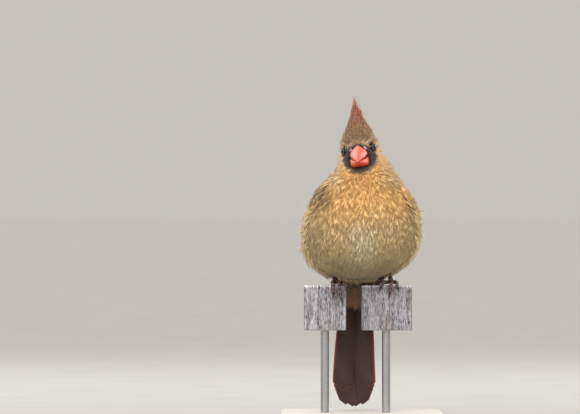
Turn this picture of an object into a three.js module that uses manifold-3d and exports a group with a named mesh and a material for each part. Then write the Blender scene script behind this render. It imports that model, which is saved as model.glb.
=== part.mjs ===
// A female northern cardinal at life size, fluffed up against the cold, perched on two cut board ends
// that a plain display stand holds up. Millimetres, +Z up. The bird faces -Y, so its left side is +X.
// The origin is the centre of the base's underside, on the floor.
import * as THREE from 'three';
import { mergeVertices } from 'three/addons/utils/BufferGeometryUtils.js';
import Module from 'manifold-3d';

const wasm = await Module();
wasm.setup();

// Driving dimensions
const gap = 0.3; // clearance between neighbouring pieces
const baseWidth = 100;
const baseDepth = 120;
const baseHeight = 8;
const perchHeight = 79; // from the base's top to the top of the boards
const perchTop = baseHeight + perchHeight;
const boardThickness = 17;
const boardDrop = 28;
const boardRightOuter = -36; // the board ends, across X
const boardRightInner = -9.9;
const boardLeftInner = -0.3;
const boardLeftOuter = 31;
const rodRadius = 2.6;
const bodyTop = 91; // heights from here on are measured from the top of the boards
const bodyBottom = -2.6;
const headCentre = new THREE.Vector3(-1.6, -8, 83.7);
const headRoll = THREE.MathUtils.degToRad(8); // the crest leans to the bird's right
const headYaw = THREE.MathUtils.degToRad(-5); // the bill turns to the bird's right
const eyeRadius = 3.2;
const eyeSeat = new THREE.Vector3(8.3, -6, 0.2); // in the head's own axes
const billLength = 20;
const crestHeight = 34.5; // from the head's centre to the crest's tip
const crestSweep = 17; // how far the crest's tip lies behind the head's centre
const wingTop = 62;
const wingTip = -15;
const tailTip = -76;
const tailCentre = -4.6;
const tailWidth = 27;
const tailFront = 13.2; // the foremost quill layer, just behind the boards
const vaneThickness = 0.5;
const toeRadius = 1.25;

// Each row is height, half width, front, back, centre across and the depth where the body is widest.
const bodyRows = [
  [-2.6, 1, 13.5, 16.5, -3.4, 15],
  [-1.6, 5.6, 10.4, 19.4, -3.4, 15],
  [0.4, 8.2, 9.2, 21.6, -3.2, 14],
  [1.4, 10, -9, 22.2, -2.6, 8],
  [3.1, 13, -20, 23, -2.4, 3],
  [6.2, 21, -30, 24.4, -2.4, 0],
  [10.5, 27, -36, 26, -2.4, -2],
  [16.7, 33, -40.5, 28, -1.8, -3],
  [23, 35.6, -42.6, 29.4, -1, -4],
  [31, 36.6, -43, 30, -0.4, -4],
  [44, 35, -40.5, 29.6, 0, -4],
  [51, 32.2, -36.5, 27.8, 0.6, -3],
  [58, 28.6, -32, 25, 0.2, -3],
  [63, 25, -29.5, 22.6, 0, -3],
  [68, 20.4, -27.5, 20, 0.4, -4],
  [75, 17, -24, 14.5, 0.4, -6],
  [82, 12.6, -20, 9.5, -0.4, -7],
  [88, 8, -15, 4.5, -1.6, -7],
  [91, 1, -8, -4, -2, -6],
];

// The surface that the folded wings lie on: the body's own, and a sleeve round the tail below it.
const wingRows = [
  [-30, 9, -5, 24, -3, 16],
  [-15, 13, -5, 26.6, -2, 15],
  [-2, 18, -5, 27, -1.5, 12],
  [8, 24.5, -20, 27.2, -1.5, 2],
  ...bodyRows.filter(([height]) => height > 16),
];

const colours = {
  plumage: 0xb99a66,
  crest: 0x8a6248,
  flight: 0x6b4a42,
  tail: 0x4a2623,
  bill: 0xe8664e,
  billBelow: 0xc9482a,
  eye: 0x120c0a,
  leg: 0x6a4a50,
  claw: 0x1c1718,
  board: 0x8d8a8c,
  stand: 0xd8d6d0,
};

// Joining and cutting

function solidOf(geometry) {
  const bare = geometry.clone();
  bare.deleteAttribute('normal');
  bare.deleteAttribute('uv');
  const merged = mergeVertices(bare);
  return new wasm.Manifold(
    new wasm.Mesh({
      numProp: 3,
      vertProperties: new Float32Array(merged.attributes.position.array),
      triVerts: new Uint32Array(merged.index.array),
    }),
  );
}

function geometryOf(solid) {
  const mesh = solid.getMesh();
  const geometry = new THREE.BufferGeometry();
  geometry.setAttribute('position', new THREE.BufferAttribute(new Float32Array(mesh.vertProperties), 3));
  geometry.setIndex([...mesh.triVerts]);
  geometry.computeVertexNormals();
  return geometry;
}

// The largest closed surface alone, so a sealed hollow is filled and a loose scrap is dropped.
function largest(solid) {
  return solid.decompose().sort((a, b) => b.volume() - a.volume())[0];
}

function joined(solids) {
  return solids.reduce((whole, next) => whole.add(next));
}

function boxBetween(low, high) {
  const size = new THREE.Vector3().subVectors(high, low);
  const box = new THREE.BoxGeometry(size.x, size.y, size.z);
  const middle = new THREE.Vector3().addVectors(low, high).multiplyScalar(0.5);
  return box.translate(middle.x, middle.y, middle.z);
}

// Closed surfaces through rings

// Both halves of a ring are split alike, so the two faces of a thin curved vane never cross.
function loft(rings, firstPoint, lastPoint) {
  const count = rings[0].length;
  const meanOf = (ring) =>
    ring.reduce((sum, point) => sum.add(point), new THREE.Vector3()).divideScalar(count);
  const points = rings.flat();
  const first = points.push(firstPoint ?? meanOf(rings[0])) - 1;
  const last = points.push(lastPoint ?? meanOf(rings.at(-1))) - 1;
  const faces = [];
  for (let row = 0; row + 1 < rings.length; row += 1) {
    for (let side = 0; side < count; side += 1) {
      const next = (side + 1) % count;
      const a = row * count + side;
      const b = row * count + next;
      const c = (row + 1) * count + next;
      const d = (row + 1) * count + side;
      if (side < count / 2) {
        faces.push([a, b, c], [a, c, d]);
      } else {
        faces.push([a, b, d], [b, c, d]);
      }
    }
  }
  const top = (rings.length - 1) * count;
  for (let side = 0; side < count; side += 1) {
    const next = (side + 1) % count;
    faces.push([next, side, first], [top + side, top + next, last]);
  }
  const volume = faces.reduce((sum, [a, b, c]) => {
    return sum + points[a].dot(new THREE.Vector3().crossVectors(points[b], points[c]));
  }, 0);
  const outward = volume > 0 ? faces : faces.map(([a, b, c]) => [a, c, b]);
  const geometry = new THREE.BufferGeometry().setFromPoints(points);
  geometry.setIndex(outward.flat());
  return geometry;
}

// Reads a table of rows at any height, smoothly and without passing its own values.
function readRows(rows, height) {
  const last = rows.length - 2;
  const found = rows.findIndex((row, index) => index <= last && height <= rows[index + 1][0]);
  const at = found < 0 ? last : found;
  const slope = (index, column) => {
    const low = rows[index];
    const high = rows[index + 1];
    return (high[column] - low[column]) / (high[0] - low[0]);
  };
  const tangent = (index, column) => {
    if (index === 0 || index === rows.length - 1) {
      return slope(Math.min(index, last), column);
    }
    const before = slope(index - 1, column);
    const after = slope(index, column);
    return before * after <= 0 ? 0 : (2 * before * after) / (before + after);
  };
  const span = rows[at + 1][0] - rows[at][0];
  const t = THREE.MathUtils.clamp((height - rows[at][0]) / span, 0, 1);
  return rows[at].map((value, column) => {
    if (column === 0) {
      return height;
    }
    const start = (1 + 2 * t) * (1 - t) ** 2;
    const end = t * t * (3 - 2 * t);
    const startSlope = t * (1 - t) ** 2 * span * tangent(at, column);
    const endSlope = t * t * (t - 1) * span * tangent(at + 1, column);
    return start * value + end * rows[at + 1][column] + startSlope + endSlope;
  });
}

// A point on the surface of the rows. The turn is 0 at the front and 180 degrees at the back.
function onRows(rows, turn, height, proud = 0) {
  const [, halfWidth, front, back, centre, middle] = readRows(rows, height);
  const angle = THREE.MathUtils.degToRad(turn);
  const ahead = Math.cos(angle) > 0 ? middle - front : back - middle;
  return new THREE.Vector3(
    centre + (halfWidth + proud) * Math.sin(angle),
    middle - (ahead + proud) * Math.cos(angle),
    height,
  );
}

// The body and the head's ball, each larger all round by the given amount.
function bodyLoft(proud, rowCount, sideCount) {
  const rings = [];
  for (let row = 1; row < rowCount; row += 1) {
    const share = (1 - Math.cos((Math.PI * row) / rowCount)) / 2;
    const height = THREE.MathUtils.lerp(bodyBottom, bodyTop, share);
    const ring = [];
    for (let side = 0; side < sideCount; side += 1) {
      ring.push(onRows(bodyRows, (360 * side) / sideCount, height, proud));
    }
    rings.push(ring);
  }
  const end = (height, move) => onRows(bodyRows, 0, height).setZ(height + move).setX(-3);
  const lowest = end(bodyBottom, -proud).setY(bodyRows[0][5]);
  return loft(rings, lowest, end(bodyTop, proud).setY(headCentre.y));
}

function toHead(point) {
  const turned = point.clone().applyAxisAngle(new THREE.Vector3(0, 0, 1), headYaw);
  return turned.applyAxisAngle(new THREE.Vector3(0, 1, 0), -headRoll).add(headCentre);
}

function headLoft(proud, rowCount, sideCount) {
  const headRows = [
    [-15, 1, -4, 4, 0, 0],
    [-13, 10, -10, 12, 0, 0],
    [-8, 13.2, -14.4, 14.5, 0, 0],
    [-3, 12.6, -15, 15, 0, 0],
    [1, 11.5, -14.6, 14.6, 0, 0],
    [6, 9.6, -12.4, 13.4, 0, 1],
    [9.6, 6, -8, 10.4, 0, 2],
    [11.2, 1, 0, 4, 0, 2],
  ];
  const [lowest] = headRows[0];
  const [highest] = headRows.at(-1);
  const rings = [];
  for (let row = 1; row < rowCount; row += 1) {
    const share = (1 - Math.cos((Math.PI * row) / rowCount)) / 2;
    const height = THREE.MathUtils.lerp(lowest, highest, share);
    const ring = [];
    for (let side = 0; side < sideCount; side += 1) {
      ring.push(toHead(onRows(headRows, (360 * side) / sideCount, height, proud)));
    }
    rings.push(ring);
  }
  const bottom = toHead(new THREE.Vector3(0, 0, lowest - proud));
  const top = toHead(new THREE.Vector3(0, 2, highest + proud));
  return loft(rings, bottom, top);
}

function wholeBody(proud) {
  return solidOf(bodyLoft(proud, 24, 36)).add(solidOf(headLoft(proud, 12, 28)));
}

// A flat, tapered feather along a path, of one thickness, whose tip closes in a round.
function vane({ path, outward, width, thickness = vaneThickness, tip = 0.3, root = 0.6, round = 0.7,
  stations = 5, tilt = 0 }) {
  const curve = new THREE.CatmullRomCurve3(path);
  const rings = [];
  for (let station = 0; station < stations; station += 1) {
    const t = station / (stations - 1);
    const along = t ** (round > 0.7 ? 0.6 : 0.85);
    const centre = curve.getPoint(along);
    const ahead = curve.getTangent(along);
    const facing = typeof outward === 'function' ? outward(along) : outward;
    const across = new THREE.Vector3().crossVectors(ahead, facing).normalize();
    across.applyAxisAngle(ahead, tilt);
    const out = new THREE.Vector3().crossVectors(across, ahead).normalize();
    const swell = root + (1 - root) * Math.sin(Math.PI * Math.min(along * 0.9, 0.5));
    const ending = Math.max(0, (along - round) / (1 - round));
    const close = Math.sqrt(1 - ending ** 2 * (1 - tip ** 2));
    const half = (width / 2) * swell * close;
    const thick = (thickness / 2) * (t === 1 ? 0.7 : 1);
    const place = (side, face) =>
      centre.clone().addScaledVector(across, side * half).addScaledVector(out, face * thick);
    rings.push([place(-1, 1), place(1, 1), place(1, -1), place(-1, -1)]);
  }
  return solidOf(loft(rings));
}

// Head, neck and torso: one body parted by two thin slanting cuts.
function slab(depth, height, slant) {
  const sheet = new THREE.BoxGeometry(140, 160, gap);
  return solidOf(sheet.rotateX(THREE.MathUtils.degToRad(slant)).translate(0, depth, height));
}

function eyeCentre(side) {
  return toHead(new THREE.Vector3(eyeSeat.x * side, eyeSeat.y, eyeSeat.z));
}

function ball(centre, radius, across = 14, down = 8) {
  return solidOf(new THREE.SphereGeometry(radius, across, down).translate(centre.x, centre.y, centre.z));
}

function lid(side, proud = 0) {
  const lookOut = new THREE.Vector3(side, -0.34, 0.04).normalize();
  const ring = new THREE.TorusGeometry(2.75, 0.6 + proud, 6, 16).scale(1, 0.86, 1);
  const turn = new THREE.Quaternion().setFromUnitVectors(new THREE.Vector3(0, 0, 1), lookOut);
  ring.applyQuaternion(turn);
  const seat = new THREE.Vector3(eyeSeat.x * side, eyeSeat.y, eyeSeat.z).addScaledVector(lookOut, 1.9);
  ring.translate(seat.x, seat.y, seat.z);
  const points = ring.attributes.position;
  for (let index = 0; index < points.count; index += 1) {
    const point = toHead(new THREE.Vector3().fromBufferAttribute(points, index));
    points.setXYZ(index, point.x, point.y, point.z);
  }
  return solidOf(ring);
}

function gapeCut() {
  const cut = new THREE.BoxGeometry(13.6, 12, 0.7).translate(0, -13.2, -4.6);
  const points = cut.attributes.position;
  for (let index = 0; index < points.count; index += 1) {
    const point = toHead(new THREE.Vector3().fromBufferAttribute(points, index));
    points.setXYZ(index, point.x, point.y, point.z);
  }
  return solidOf(cut);
}

// A mandible: arched sections that shrink to the tip. Top and bottom edges are functions of the way out.
function mandible({ length, halfWidth, top, bottom, archDown, taper }) {
  const stations = 8;
  const sides = 12;
  const rings = [];
  for (let station = 0; station < stations; station += 1) {
    const t = 1 - (1 - station / (stations - 1)) ** 1.25;
    const half = halfWidth * (1 - t ** taper) + 0.3;
    const high = top(t);
    const low = bottom(t);
    const ring = [];
    for (let side = 0; side <= sides; side += 1) {
      const angle = (Math.PI * side) / sides;
      const rise = Math.sin(angle) ** 0.8;
      const height = archDown ? high - (high - low) * rise : low + (high - low) * rise;
      ring.push(toHead(new THREE.Vector3(half * Math.cos(angle), -11 - length * t, height)));
    }
    rings.push(ring);
  }
  return solidOf(loft(rings));
}

const gapeLine = (t) => -4.3 - 3.3 * t ** 1.3 - 0.5 * Math.sin(Math.PI * Math.min(1, t * 1.4));

function billUpper(body) {
  const horn = mandible({
    length: billLength,
    halfWidth: 5.2,
    top: (t) => -7.4 + 10.4 * (1 - t ** 1.9) ** 0.8,
    bottom: (t) => gapeLine(t) - 0.2 * t,
    archDown: false,
    taper: 1.7,
  });
  const nostrils = [1, -1].map((side) => ball(toHead(new THREE.Vector3(3.6 * side, -15.6, 1.4)), 0.8, 10, 8));
  return horn.subtract(body).subtract(joined(nostrils));
}

function billLower(body) {
  return mandible({
    length: billLength - 3,
    halfWidth: 6.2,
    top: (t) => gapeLine(t * 0.86) - gap,
    bottom: (t) => -8.4 - 2.8 * (1 - t ** 1.6),
    archDown: true,
    taper: 1.9,
  }).subtract(body);
}

// Crest: feathers rise in rows from the forehead to the hind crown and lean back over one another.
function crest(body) {
  const rowCount = 6;
  const feathers = [];
  for (let row = 0; row < rowCount; row += 1) {
    const share = row / (rowCount - 1);
    const acrossCount = row % 2 === 0 ? 3 : 4;
    for (let place = 0; place < acrossCount; place += 1) {
      const sideways = acrossCount > 1 ? (2 * place) / (acrossCount - 1) - 1 : 0;
      const spread = 8.4 - 1.6 * share - (acrossCount === 4 ? 0 : 1.4);
      const reach = (0.42 + 0.58 * share ** 0.8) * (1 - 0.3 * Math.abs(sideways));
      const root = new THREE.Vector3(
        sideways * spread,
        THREE.MathUtils.lerp(-11, 8, share),
        8 - 3 * Math.abs(sideways) - 2.4 * (1 - share),
      );
      const tip = new THREE.Vector3(
        sideways * (5.2 - 2.6 * share),
        THREE.MathUtils.lerp(-4, crestSweep, share),
        THREE.MathUtils.lerp(6, crestHeight, reach),
      );
      const middle = root.clone().lerp(tip, 0.5);
      middle.y -= 1 + share;
      middle.x += sideways * 0.9;
      feathers.push(
        vane({
          path: [root, middle, tip].map(toHead),
          outward: new THREE.Vector3(sideways * 0.9, -1, 0.5).normalize(),
          width: 6.2 - 1.2 * share,
          tip: 0.2,
          stations: 4,
          thickness: 0.7,
        }),
      );
    }
  }
  const core = [];
  for (let level = 0; level < 5; level += 1) {
    const share = level / 4;
    const ring = [];
    for (let side = 0; side < 12; side += 1) {
      const angle = (Math.PI * side) / 6;
      ring.push(
        toHead(
          new THREE.Vector3(
            Math.sin(angle) * THREE.MathUtils.lerp(9.6, 2.6, share),
            THREE.MathUtils.lerp(-1, 6.5, share) - Math.cos(angle) * THREE.MathUtils.lerp(11, 4, share),
            THREE.MathUtils.lerp(4, 21, share) + 1.6 * (1 - share) * Math.cos(2 * angle),
          ),
        ),
      );
    }
    core.push(ring);
  }
  return solidOf(loft(core)).add(joined(feathers)).subtract(body);
}

// Wings. A place on one is its share of the way down, and its share of the way up from the front edge.
function onWing(side, along, up, proud) {
  const frontEdge = readRows([[0, 88], [0.35, 108], [0.7, 136], [1, 158], [1.2, 160]], along)[1];
  const backEdge = readRows([[0, 138], [0.3, 166], [0.6, 173], [1, 166], [1.2, 164]], along)[1];
  const turn = THREE.MathUtils.lerp(frontEdge, backEdge, up);
  const height = THREE.MathUtils.lerp(wingTop, wingTip, along) + 5 * up * (1 - along);
  return onRows(wingRows, side * turn, height, proud);
}

function wingOutward(side, along, up) {
  const here = onWing(side, along, up, 0);
  const down = onWing(side, along + 0.03, up, 0).sub(here);
  const over = onWing(side, along, up + 0.03, 0).sub(here);
  return new THREE.Vector3().crossVectors(over, down).normalize().multiplyScalar(side);
}

// A tier of like feathers side by side, each with an edge under the next one.
function tier(side, { count, from, to, low, high, lift, drop = 0, width, tilt, stations = 5, spread = 0 }) {
  const feathers = [];
  for (let place = 0; place < count; place += 1) {
    const share = count > 1 ? place / (count - 1) : 0;
    const start = typeof from === 'function' ? from(share) : from;
    const end = typeof to === 'function' ? to(share) : to;
    const rootUp = THREE.MathUtils.lerp(low[0], high[0], share);
    const tipUp = THREE.MathUtils.lerp(low[1], high[1], share) + spread * (share - 0.5);
    const at = (t) => [THREE.MathUtils.lerp(start, end, t), THREE.MathUtils.lerp(rootUp, tipUp, t)];
    const path = [0, 0.33, 0.67, 1].map((t) => {
      const [along, up] = at(t);
      return onWing(side, along, up, THREE.MathUtils.lerp(lift - 0.7, lift + 0.2 - drop, t));
    });
    feathers.push(
      vane({
        path,
        outward: (t) => wingOutward(side, ...at(t)),
        width: typeof width === 'function' ? width(share) : width,
        tilt: tilt * side,
        stations,
      }),
    );
  }
  return joined(feathers);
}

function wing(side, body) {
  const rings = [];
  const levels = 7;
  for (let level = 0; level < levels; level += 1) {
    const along = 0.02 + (0.7 * level) / (levels - 1);
    const closing = Math.sin(Math.PI * Math.min(0.5, 0.12 + along));
    const ring = [];
    const steps = 5;
    const trim = 0.06 + 0.1 * (1 - closing);
    for (let step = 0; step < steps; step += 1) {
      const up = THREE.MathUtils.lerp(trim, 1 - trim, step / (steps - 1));
      ring.push(onWing(side, along, up, 1.3 + 1.2 * closing * Math.sin((Math.PI * step) / (steps - 1))));
    }
    for (let step = steps - 1; step >= 0; step -= 1) {
      ring.push(onWing(side, along, THREE.MathUtils.lerp(trim, 1 - trim, step / (steps - 1)), -0.6));
    }
    rings.push(ring);
  }
  const core = solidOf(loft(rings));
  const tiers = [
    { count: 7, from: 0.3, to: (s) => 1 - 0.2 * s, low: [0.06, 0.16], high: [0.36, 0.62], lift: 1.7,
      width: 6.6, tilt: 0.34 },
    { count: 5, from: 0.28, to: (s) => 0.74 - 0.03 * s, low: [0.32, 0.16], high: [0.6, 0.62], lift: 3.1,
      width: 8.6, tilt: 0.2, stations: 4 },
    { count: 3, from: (s) => 0.2 - 0.04 * s, to: (s) => 0.66 - 0.17 * s, low: [0.64, 0.7],
      high: [0.84, 0.9], lift: 4.6, width: 10, tilt: 0.2, stations: 4 },
    { count: 6, from: 0.12, to: (s) => 0.36 - 0.02 * s, low: [0.08, 0.1], high: [0.8, 0.82], lift: 4.9,
      width: 8, tilt: 0.2, stations: 3 },
    { count: 5, from: 0.03, to: (s) => 0.2 + 0.01 * s, low: [0.12, 0.14], high: [0.8, 0.82], lift: 5.4,
      width: 8.6, tilt: 0.2, stations: 3 },
  ];
  const feathers = tiers.map((row) => tier(side, row));
  return core.add(joined(feathers)).subtract(body);
}

// Tail: twelve quills folded into a stack, the outer ones in front, with coverts before and behind.
function tail(body) {
  const rootHeight = 4;
  const back = new THREE.Vector3(0, 1, 0);
  const layerStep = vaneThickness + gap;
  const feathers = [];
  for (let layer = 0; layer < 7; layer += 1) {
    const sides = layer < 2 ? [layer === 0 ? 0.12 : -0.12] : [1, -1];
    const outer = Math.max(0, layer - 1) / 5;
    for (const side of sides) {
      const depth = tailFront + (6 - layer) * layerStep;
      const width = layer < 2 ? 11 : THREE.MathUtils.lerp(9.4, tailWidth / 2 - 0.2, outer);
      const reach = tailTip + 12 * outer ** 1.4;
      const inset = layer < 2 ? side * 8 : side * (width / 2 + 0.2);
      const root = new THREE.Vector3(tailCentre + 1.2 + inset * 0.25, 17 - layer * 0.35, rootHeight);
      const middle = new THREE.Vector3(tailCentre + 0.8 + inset * 0.62, depth + 0.4, -18);
      const low = new THREE.Vector3(tailCentre + inset * 0.9, depth, -50);
      const tip = new THREE.Vector3(tailCentre + inset, depth, reach);
      feathers.push(
        vane({ path: [root, middle, low, tip], outward: back, width, root: 0.4, tip: 0.5,
          round: 0.86, stations: 7 }),
      );
    }
  }
  const coverts = [];
  for (const [face, count, reach] of [[-1, 5, -11.5], [1, 6, -14]]) {
    for (let place = 0; place < count; place += 1) {
      const across = (2 * place) / (count - 1) - 1;
      const depth = face < 0 ? tailFront - 1.5 : tailFront + 7 * layerStep + 0.9;
      const root = new THREE.Vector3(tailCentre + 1.2 + across * 4.6, 16 + face * 3.4, 3);
      const tip = new THREE.Vector3(tailCentre + 0.6 + across * 6, depth, reach + 3.4 * Math.abs(across));
      const middle = root.clone().lerp(tip, 0.5).setY(depth + face * 1.3);
      coverts.push(
        vane({ path: [root, middle, tip], outward: back.clone().multiplyScalar(face), width: 6.4,
          stations: 4, thickness: 0.6, tilt: 0.1 * face }),
      );
    }
  }
  const core = [];
  for (let level = 0; level < 5; level += 1) {
    const share = level / 4;
    const ring = [];
    for (let side = 0; side < 14; side += 1) {
      const angle = (Math.PI * side) / 7;
      ring.push(
        new THREE.Vector3(
          tailCentre + 1 + Math.sin(angle) * THREE.MathUtils.lerp(7.4, 4.6, share),
          THREE.MathUtils.lerp(16.4, 16, share) - Math.cos(angle) * THREE.MathUtils.lerp(5.2, 2.6, share),
          THREE.MathUtils.lerp(4, -9, share),
        ),
      );
    }
    core.push(ring);
  }
  return solidOf(loft(core)).add(joined(feathers)).add(joined(coverts)).subtract(body);
}

// Feet. Each toe bends over the front edge of its board, and the hind toe over the back edge.
const boardFront = -boardThickness / 2;
const feet = {
  left: {
    shin: new THREE.Vector3(15.2, -1, 10),
    ankle: new THREE.Vector3(18.4, -4.6, 3.4),
    toes: {
      inner: { over: 13.4, under: 11.6, claw: 10.6, drop: -1.2, tip: -4.8 },
      middle: { over: 18.3, under: 17.2, claw: 16, drop: -4.4, tip: -9.4 },
      outer: { over: 21.2, under: 21.9, claw: 22.9, drop: -1.4, tip: -5.4 },
      hind: { over: 18.2, under: 18.2, claw: 18.6, drop: -2, tip: -8 },
    },
  },
  right: {
    shin: new THREE.Vector3(-16.3, -1, 10),
    ankle: new THREE.Vector3(-16.9, -4.6, 3.6),
    toes: {
      inner: { over: -12.6, under: -9.2, claw: -6.8, drop: -1.4, tip: -5.4 },
      middle: { over: -15.2, under: -13, claw: -11.6, drop: -7.8, tip: -12.6 },
      outer: { over: -18.6, under: -17.8, claw: -18.2, drop: -4.6, tip: -9 },
      hind: { over: -17.4, under: -17.6, claw: -18, drop: -2, tip: -8 },
    },
  },
};

// A limb of round sections with a raised scute every other station on its upper side.
function scaledLimb(path, radiusAt, stations, sides, outwardAt) {
  const curve = new THREE.CatmullRomCurve3(path);
  const rings = [];
  for (let station = 0; station < stations; station += 1) {
    const t = station / (stations - 1);
    const ahead = curve.getTangent(t);
    const out = outwardAt(t).clone().addScaledVector(ahead, -outwardAt(t).dot(ahead)).normalize();
    const across = new THREE.Vector3().crossVectors(ahead, out);
    const ring = [];
    for (let side = 0; side < sides; side += 1) {
      const angle = (2 * Math.PI * side) / sides;
      const scute = station % 2 === 1 ? 0.16 * Math.max(0, Math.cos(angle)) : 0;
      const radius = radiusAt(t) + scute;
      const point = curve.getPoint(t).addScaledVector(out, radius * Math.cos(angle));
      ring.push(point.addScaledVector(across, radius * Math.sin(angle)));
    }
    rings.push(ring);
  }
  return solidOf(loft(rings));
}

function toePath({ ankle }, name, { over, under, drop }) {
  const face = name === 'hind' ? -1 : 1;
  const edge = boardFront * face;
  const lie = toeRadius + gap;
  const out = -face * lie;
  const start = ankle.clone().setZ(2.1);
  const bend = new THREE.Vector3(over, edge - out * 0.35, lie + 0.1);
  const corner = new THREE.Vector3(THREE.MathUtils.lerp(over, under, 0.4), edge + out * 0.8, lie * 0.62);
  const end = new THREE.Vector3(under, edge + out * 1.1, drop);
  return [start, start.clone().lerp(bend, 0.55).setZ(lie + 0.35), bend, corner, end];
}

function toe(foot, name) {
  const face = name === 'hind' ? 1 : -1;
  const up = new THREE.Vector3(0, 0, 1);
  const away = new THREE.Vector3(0, face, 0.25);
  const outwardAt = (t) => up.clone().lerp(away, THREE.MathUtils.smoothstep(t, 0.45, 0.9)).normalize();
  const radiusAt = (t) => toeRadius * (1 - 0.16 * t) * (0.94 + 0.1 * Math.cos(t * 4 * Math.PI));
  return scaledLimb(toePath(foot, name, foot.toes[name]), radiusAt, 10, 8, outwardAt);
}

function leg(foot, body, boards) {
  const knee = foot.shin;
  const shank = foot.ankle.clone().lerp(knee, 0.5).add(new THREE.Vector3(0, 0.3, 0));
  const path = [foot.ankle.clone().setZ(1.9), shank, knee];
  const radiusAt = (t) => 1.75 - 0.35 * Math.sin(Math.PI * Math.min(1, t * 1.3));
  const shin = scaledLimb(path, radiusAt, 8, 8, () => new THREE.Vector3(0, -1, 0.2));
  const pad = new THREE.SphereGeometry(2, 12, 8).scale(1.05, 1.15, 0.72);
  pad.translate(foot.ankle.x, foot.ankle.y + 0.3, 2);
  const toes = Object.keys(foot.toes).map((name) => toe(foot, name));
  return joined([shin, solidOf(pad), ...toes]).subtract(body).subtract(boards);
}

// A claw leaves its toe's end a gap away and hooks down and in towards the board.
function claw(foot, name, legSolid, boards) {
  const face = name === 'hind' ? -1 : 1;
  const { under, claw: aside, drop, tip } = foot.toes[name];
  const edge = boardFront * face;
  const out = -face;
  const start = new THREE.Vector3(under, edge + out * (toeRadius + gap) * 1.08, drop + 0.5);
  const end = new THREE.Vector3(aside, edge + out * 0.75, tip);
  const middle = start.clone().lerp(end, 0.5).add(new THREE.Vector3(0, out * 0.95, 0.2));
  const curve = new THREE.CatmullRomCurve3([start, middle, end]);
  const rings = [];
  for (let station = 0; station < 5; station += 1) {
    const t = station / 4;
    const centre = curve.getPoint(t);
    const ahead = curve.getTangent(t);
    const across = new THREE.Vector3(0, 1, 0).cross(ahead).normalize();
    const away = new THREE.Vector3().crossVectors(ahead, across);
    const radius = 0.95 * (1 - t ** 1.2) + 0.14;
    const ring = [];
    for (let side = 0; side < 6; side += 1) {
      const angle = (Math.PI * side) / 3;
      const point = centre.clone().addScaledVector(across, radius * 0.85 * Math.cos(angle));
      ring.push(point.addScaledVector(away, radius * 1.1 * Math.sin(angle)));
    }
    rings.push(ring);
  }
  return solidOf(loft(rings)).subtract(legSolid).subtract(boards);
}

// Assembly

const group = new THREE.Group();
group.position.z = perchTop;

function addNode(name, solidOrGeometry, colour, roughness = 0.8, metalness = 0) {
  const geometry = solidOrGeometry.isBufferGeometry ? solidOrGeometry : geometryOf(largest(solidOrGeometry));
  const material = new THREE.MeshStandardMaterial({ color: colour, roughness, metalness });
  const mesh = new THREE.Mesh(geometry, material);
  mesh.name = name;
  group.add(mesh);
}

// The boards' own shape, and a slightly larger one that all that meets them is cut clear of.
function board(inner, outer, proud = 0) {
  const half = boardThickness / 2 + proud;
  const low = new THREE.Vector3(Math.min(inner, outer) - proud, -half, -boardDrop - proud);
  return boxBetween(low, new THREE.Vector3(Math.max(inner, outer) + proud, half, proud));
}
const boardClearance = solidOf(board(boardRightInner, boardRightOuter, gap)).add(
  solidOf(board(boardLeftInner, boardLeftOuter, gap)),
);

// The body cut whole, and a slightly larger one that its neighbours are cut clear of.
const sockets = joined([1, -1].map((side) => ball(eyeCentre(side), eyeRadius + gap)));
const lids = joined([lid(1), lid(-1)]);
const clearance = wholeBody(gap).add(lid(1, gap)).add(lid(-1, gap));
const flesh = wholeBody(0).add(lids).subtract(sockets).subtract(gapeCut()).subtract(boardClearance);
const cuts = slab(-28, 69.5, 14).add(slab(-34, 56.5, 12));
const heights = (solid) => solid.boundingBox().max[2];
const fleshPieces = flesh.subtract(cuts).decompose().sort((a, b) => b.volume() - a.volume()).slice(0, 3);
const [headSolid, neckSolid, torsoSolid] = fleshPieces.sort((a, b) => heights(b) - heights(a));
addNode('head', headSolid, colours.plumage);
addNode('neck', neckSolid, colours.plumage);
addNode('torso', torsoSolid, colours.plumage);
addNode('crest', crest(clearance), colours.crest);
addNode('bill_upper', billUpper(clearance), colours.bill, 0.35);
addNode('bill_lower', billLower(clearance), colours.billBelow, 0.35);
addNode('eye_left', ball(eyeCentre(1), eyeRadius), colours.eye, 0.08);
addNode('eye_right', ball(eyeCentre(-1), eyeRadius), colours.eye, 0.08);
addNode('wing_left', wing(1, clearance), colours.flight);
addNode('wing_right', wing(-1, clearance), colours.flight);
addNode('tail', tail(clearance), colours.tail);

for (const [side, foot] of Object.entries(feet)) {
  const legSolid = leg(foot, clearance, boardClearance);
  addNode(`leg_${side}`, legSolid, colours.leg, 0.6);
  for (const name of Object.keys(foot.toes)) {
    addNode(`claw_${side}_${name}`, claw(foot, name, legSolid, boardClearance), colours.claw, 0.4);
  }
}

addNode('stand_perch_left', board(boardLeftInner, boardLeftOuter), colours.board, 0.9);
addNode('stand_perch_right', board(boardRightInner, boardRightOuter), colours.board, 0.9);
const rodHeight = perchHeight - boardDrop - 2 * gap;
const rods = { left: 15, right: -23 };
for (const [side, across] of Object.entries(rods)) {
  const rod = new THREE.CylinderGeometry(rodRadius, rodRadius, rodHeight, 24).rotateX(Math.PI / 2);
  rod.translate(across, 0, -boardDrop - gap - rodHeight / 2);
  addNode(`stand_rod_${side}`, rod, colours.stand, 0.4, 0.8);
}
const baseLow = new THREE.Vector3(-baseWidth / 2, -baseDepth / 2, -perchTop);
const baseHigh = new THREE.Vector3(baseWidth / 2, baseDepth / 2, -perchHeight);
addNode('stand_base', boxBetween(baseLow, baseHigh), colours.stand, 0.5);

export default group;
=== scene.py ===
import math
import random
from itertools import product
import bpy
import bmesh
import numpy as np
from mathutils import Vector, Matrix, noise
from mathutils.bvhtree import BVHTree


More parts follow.
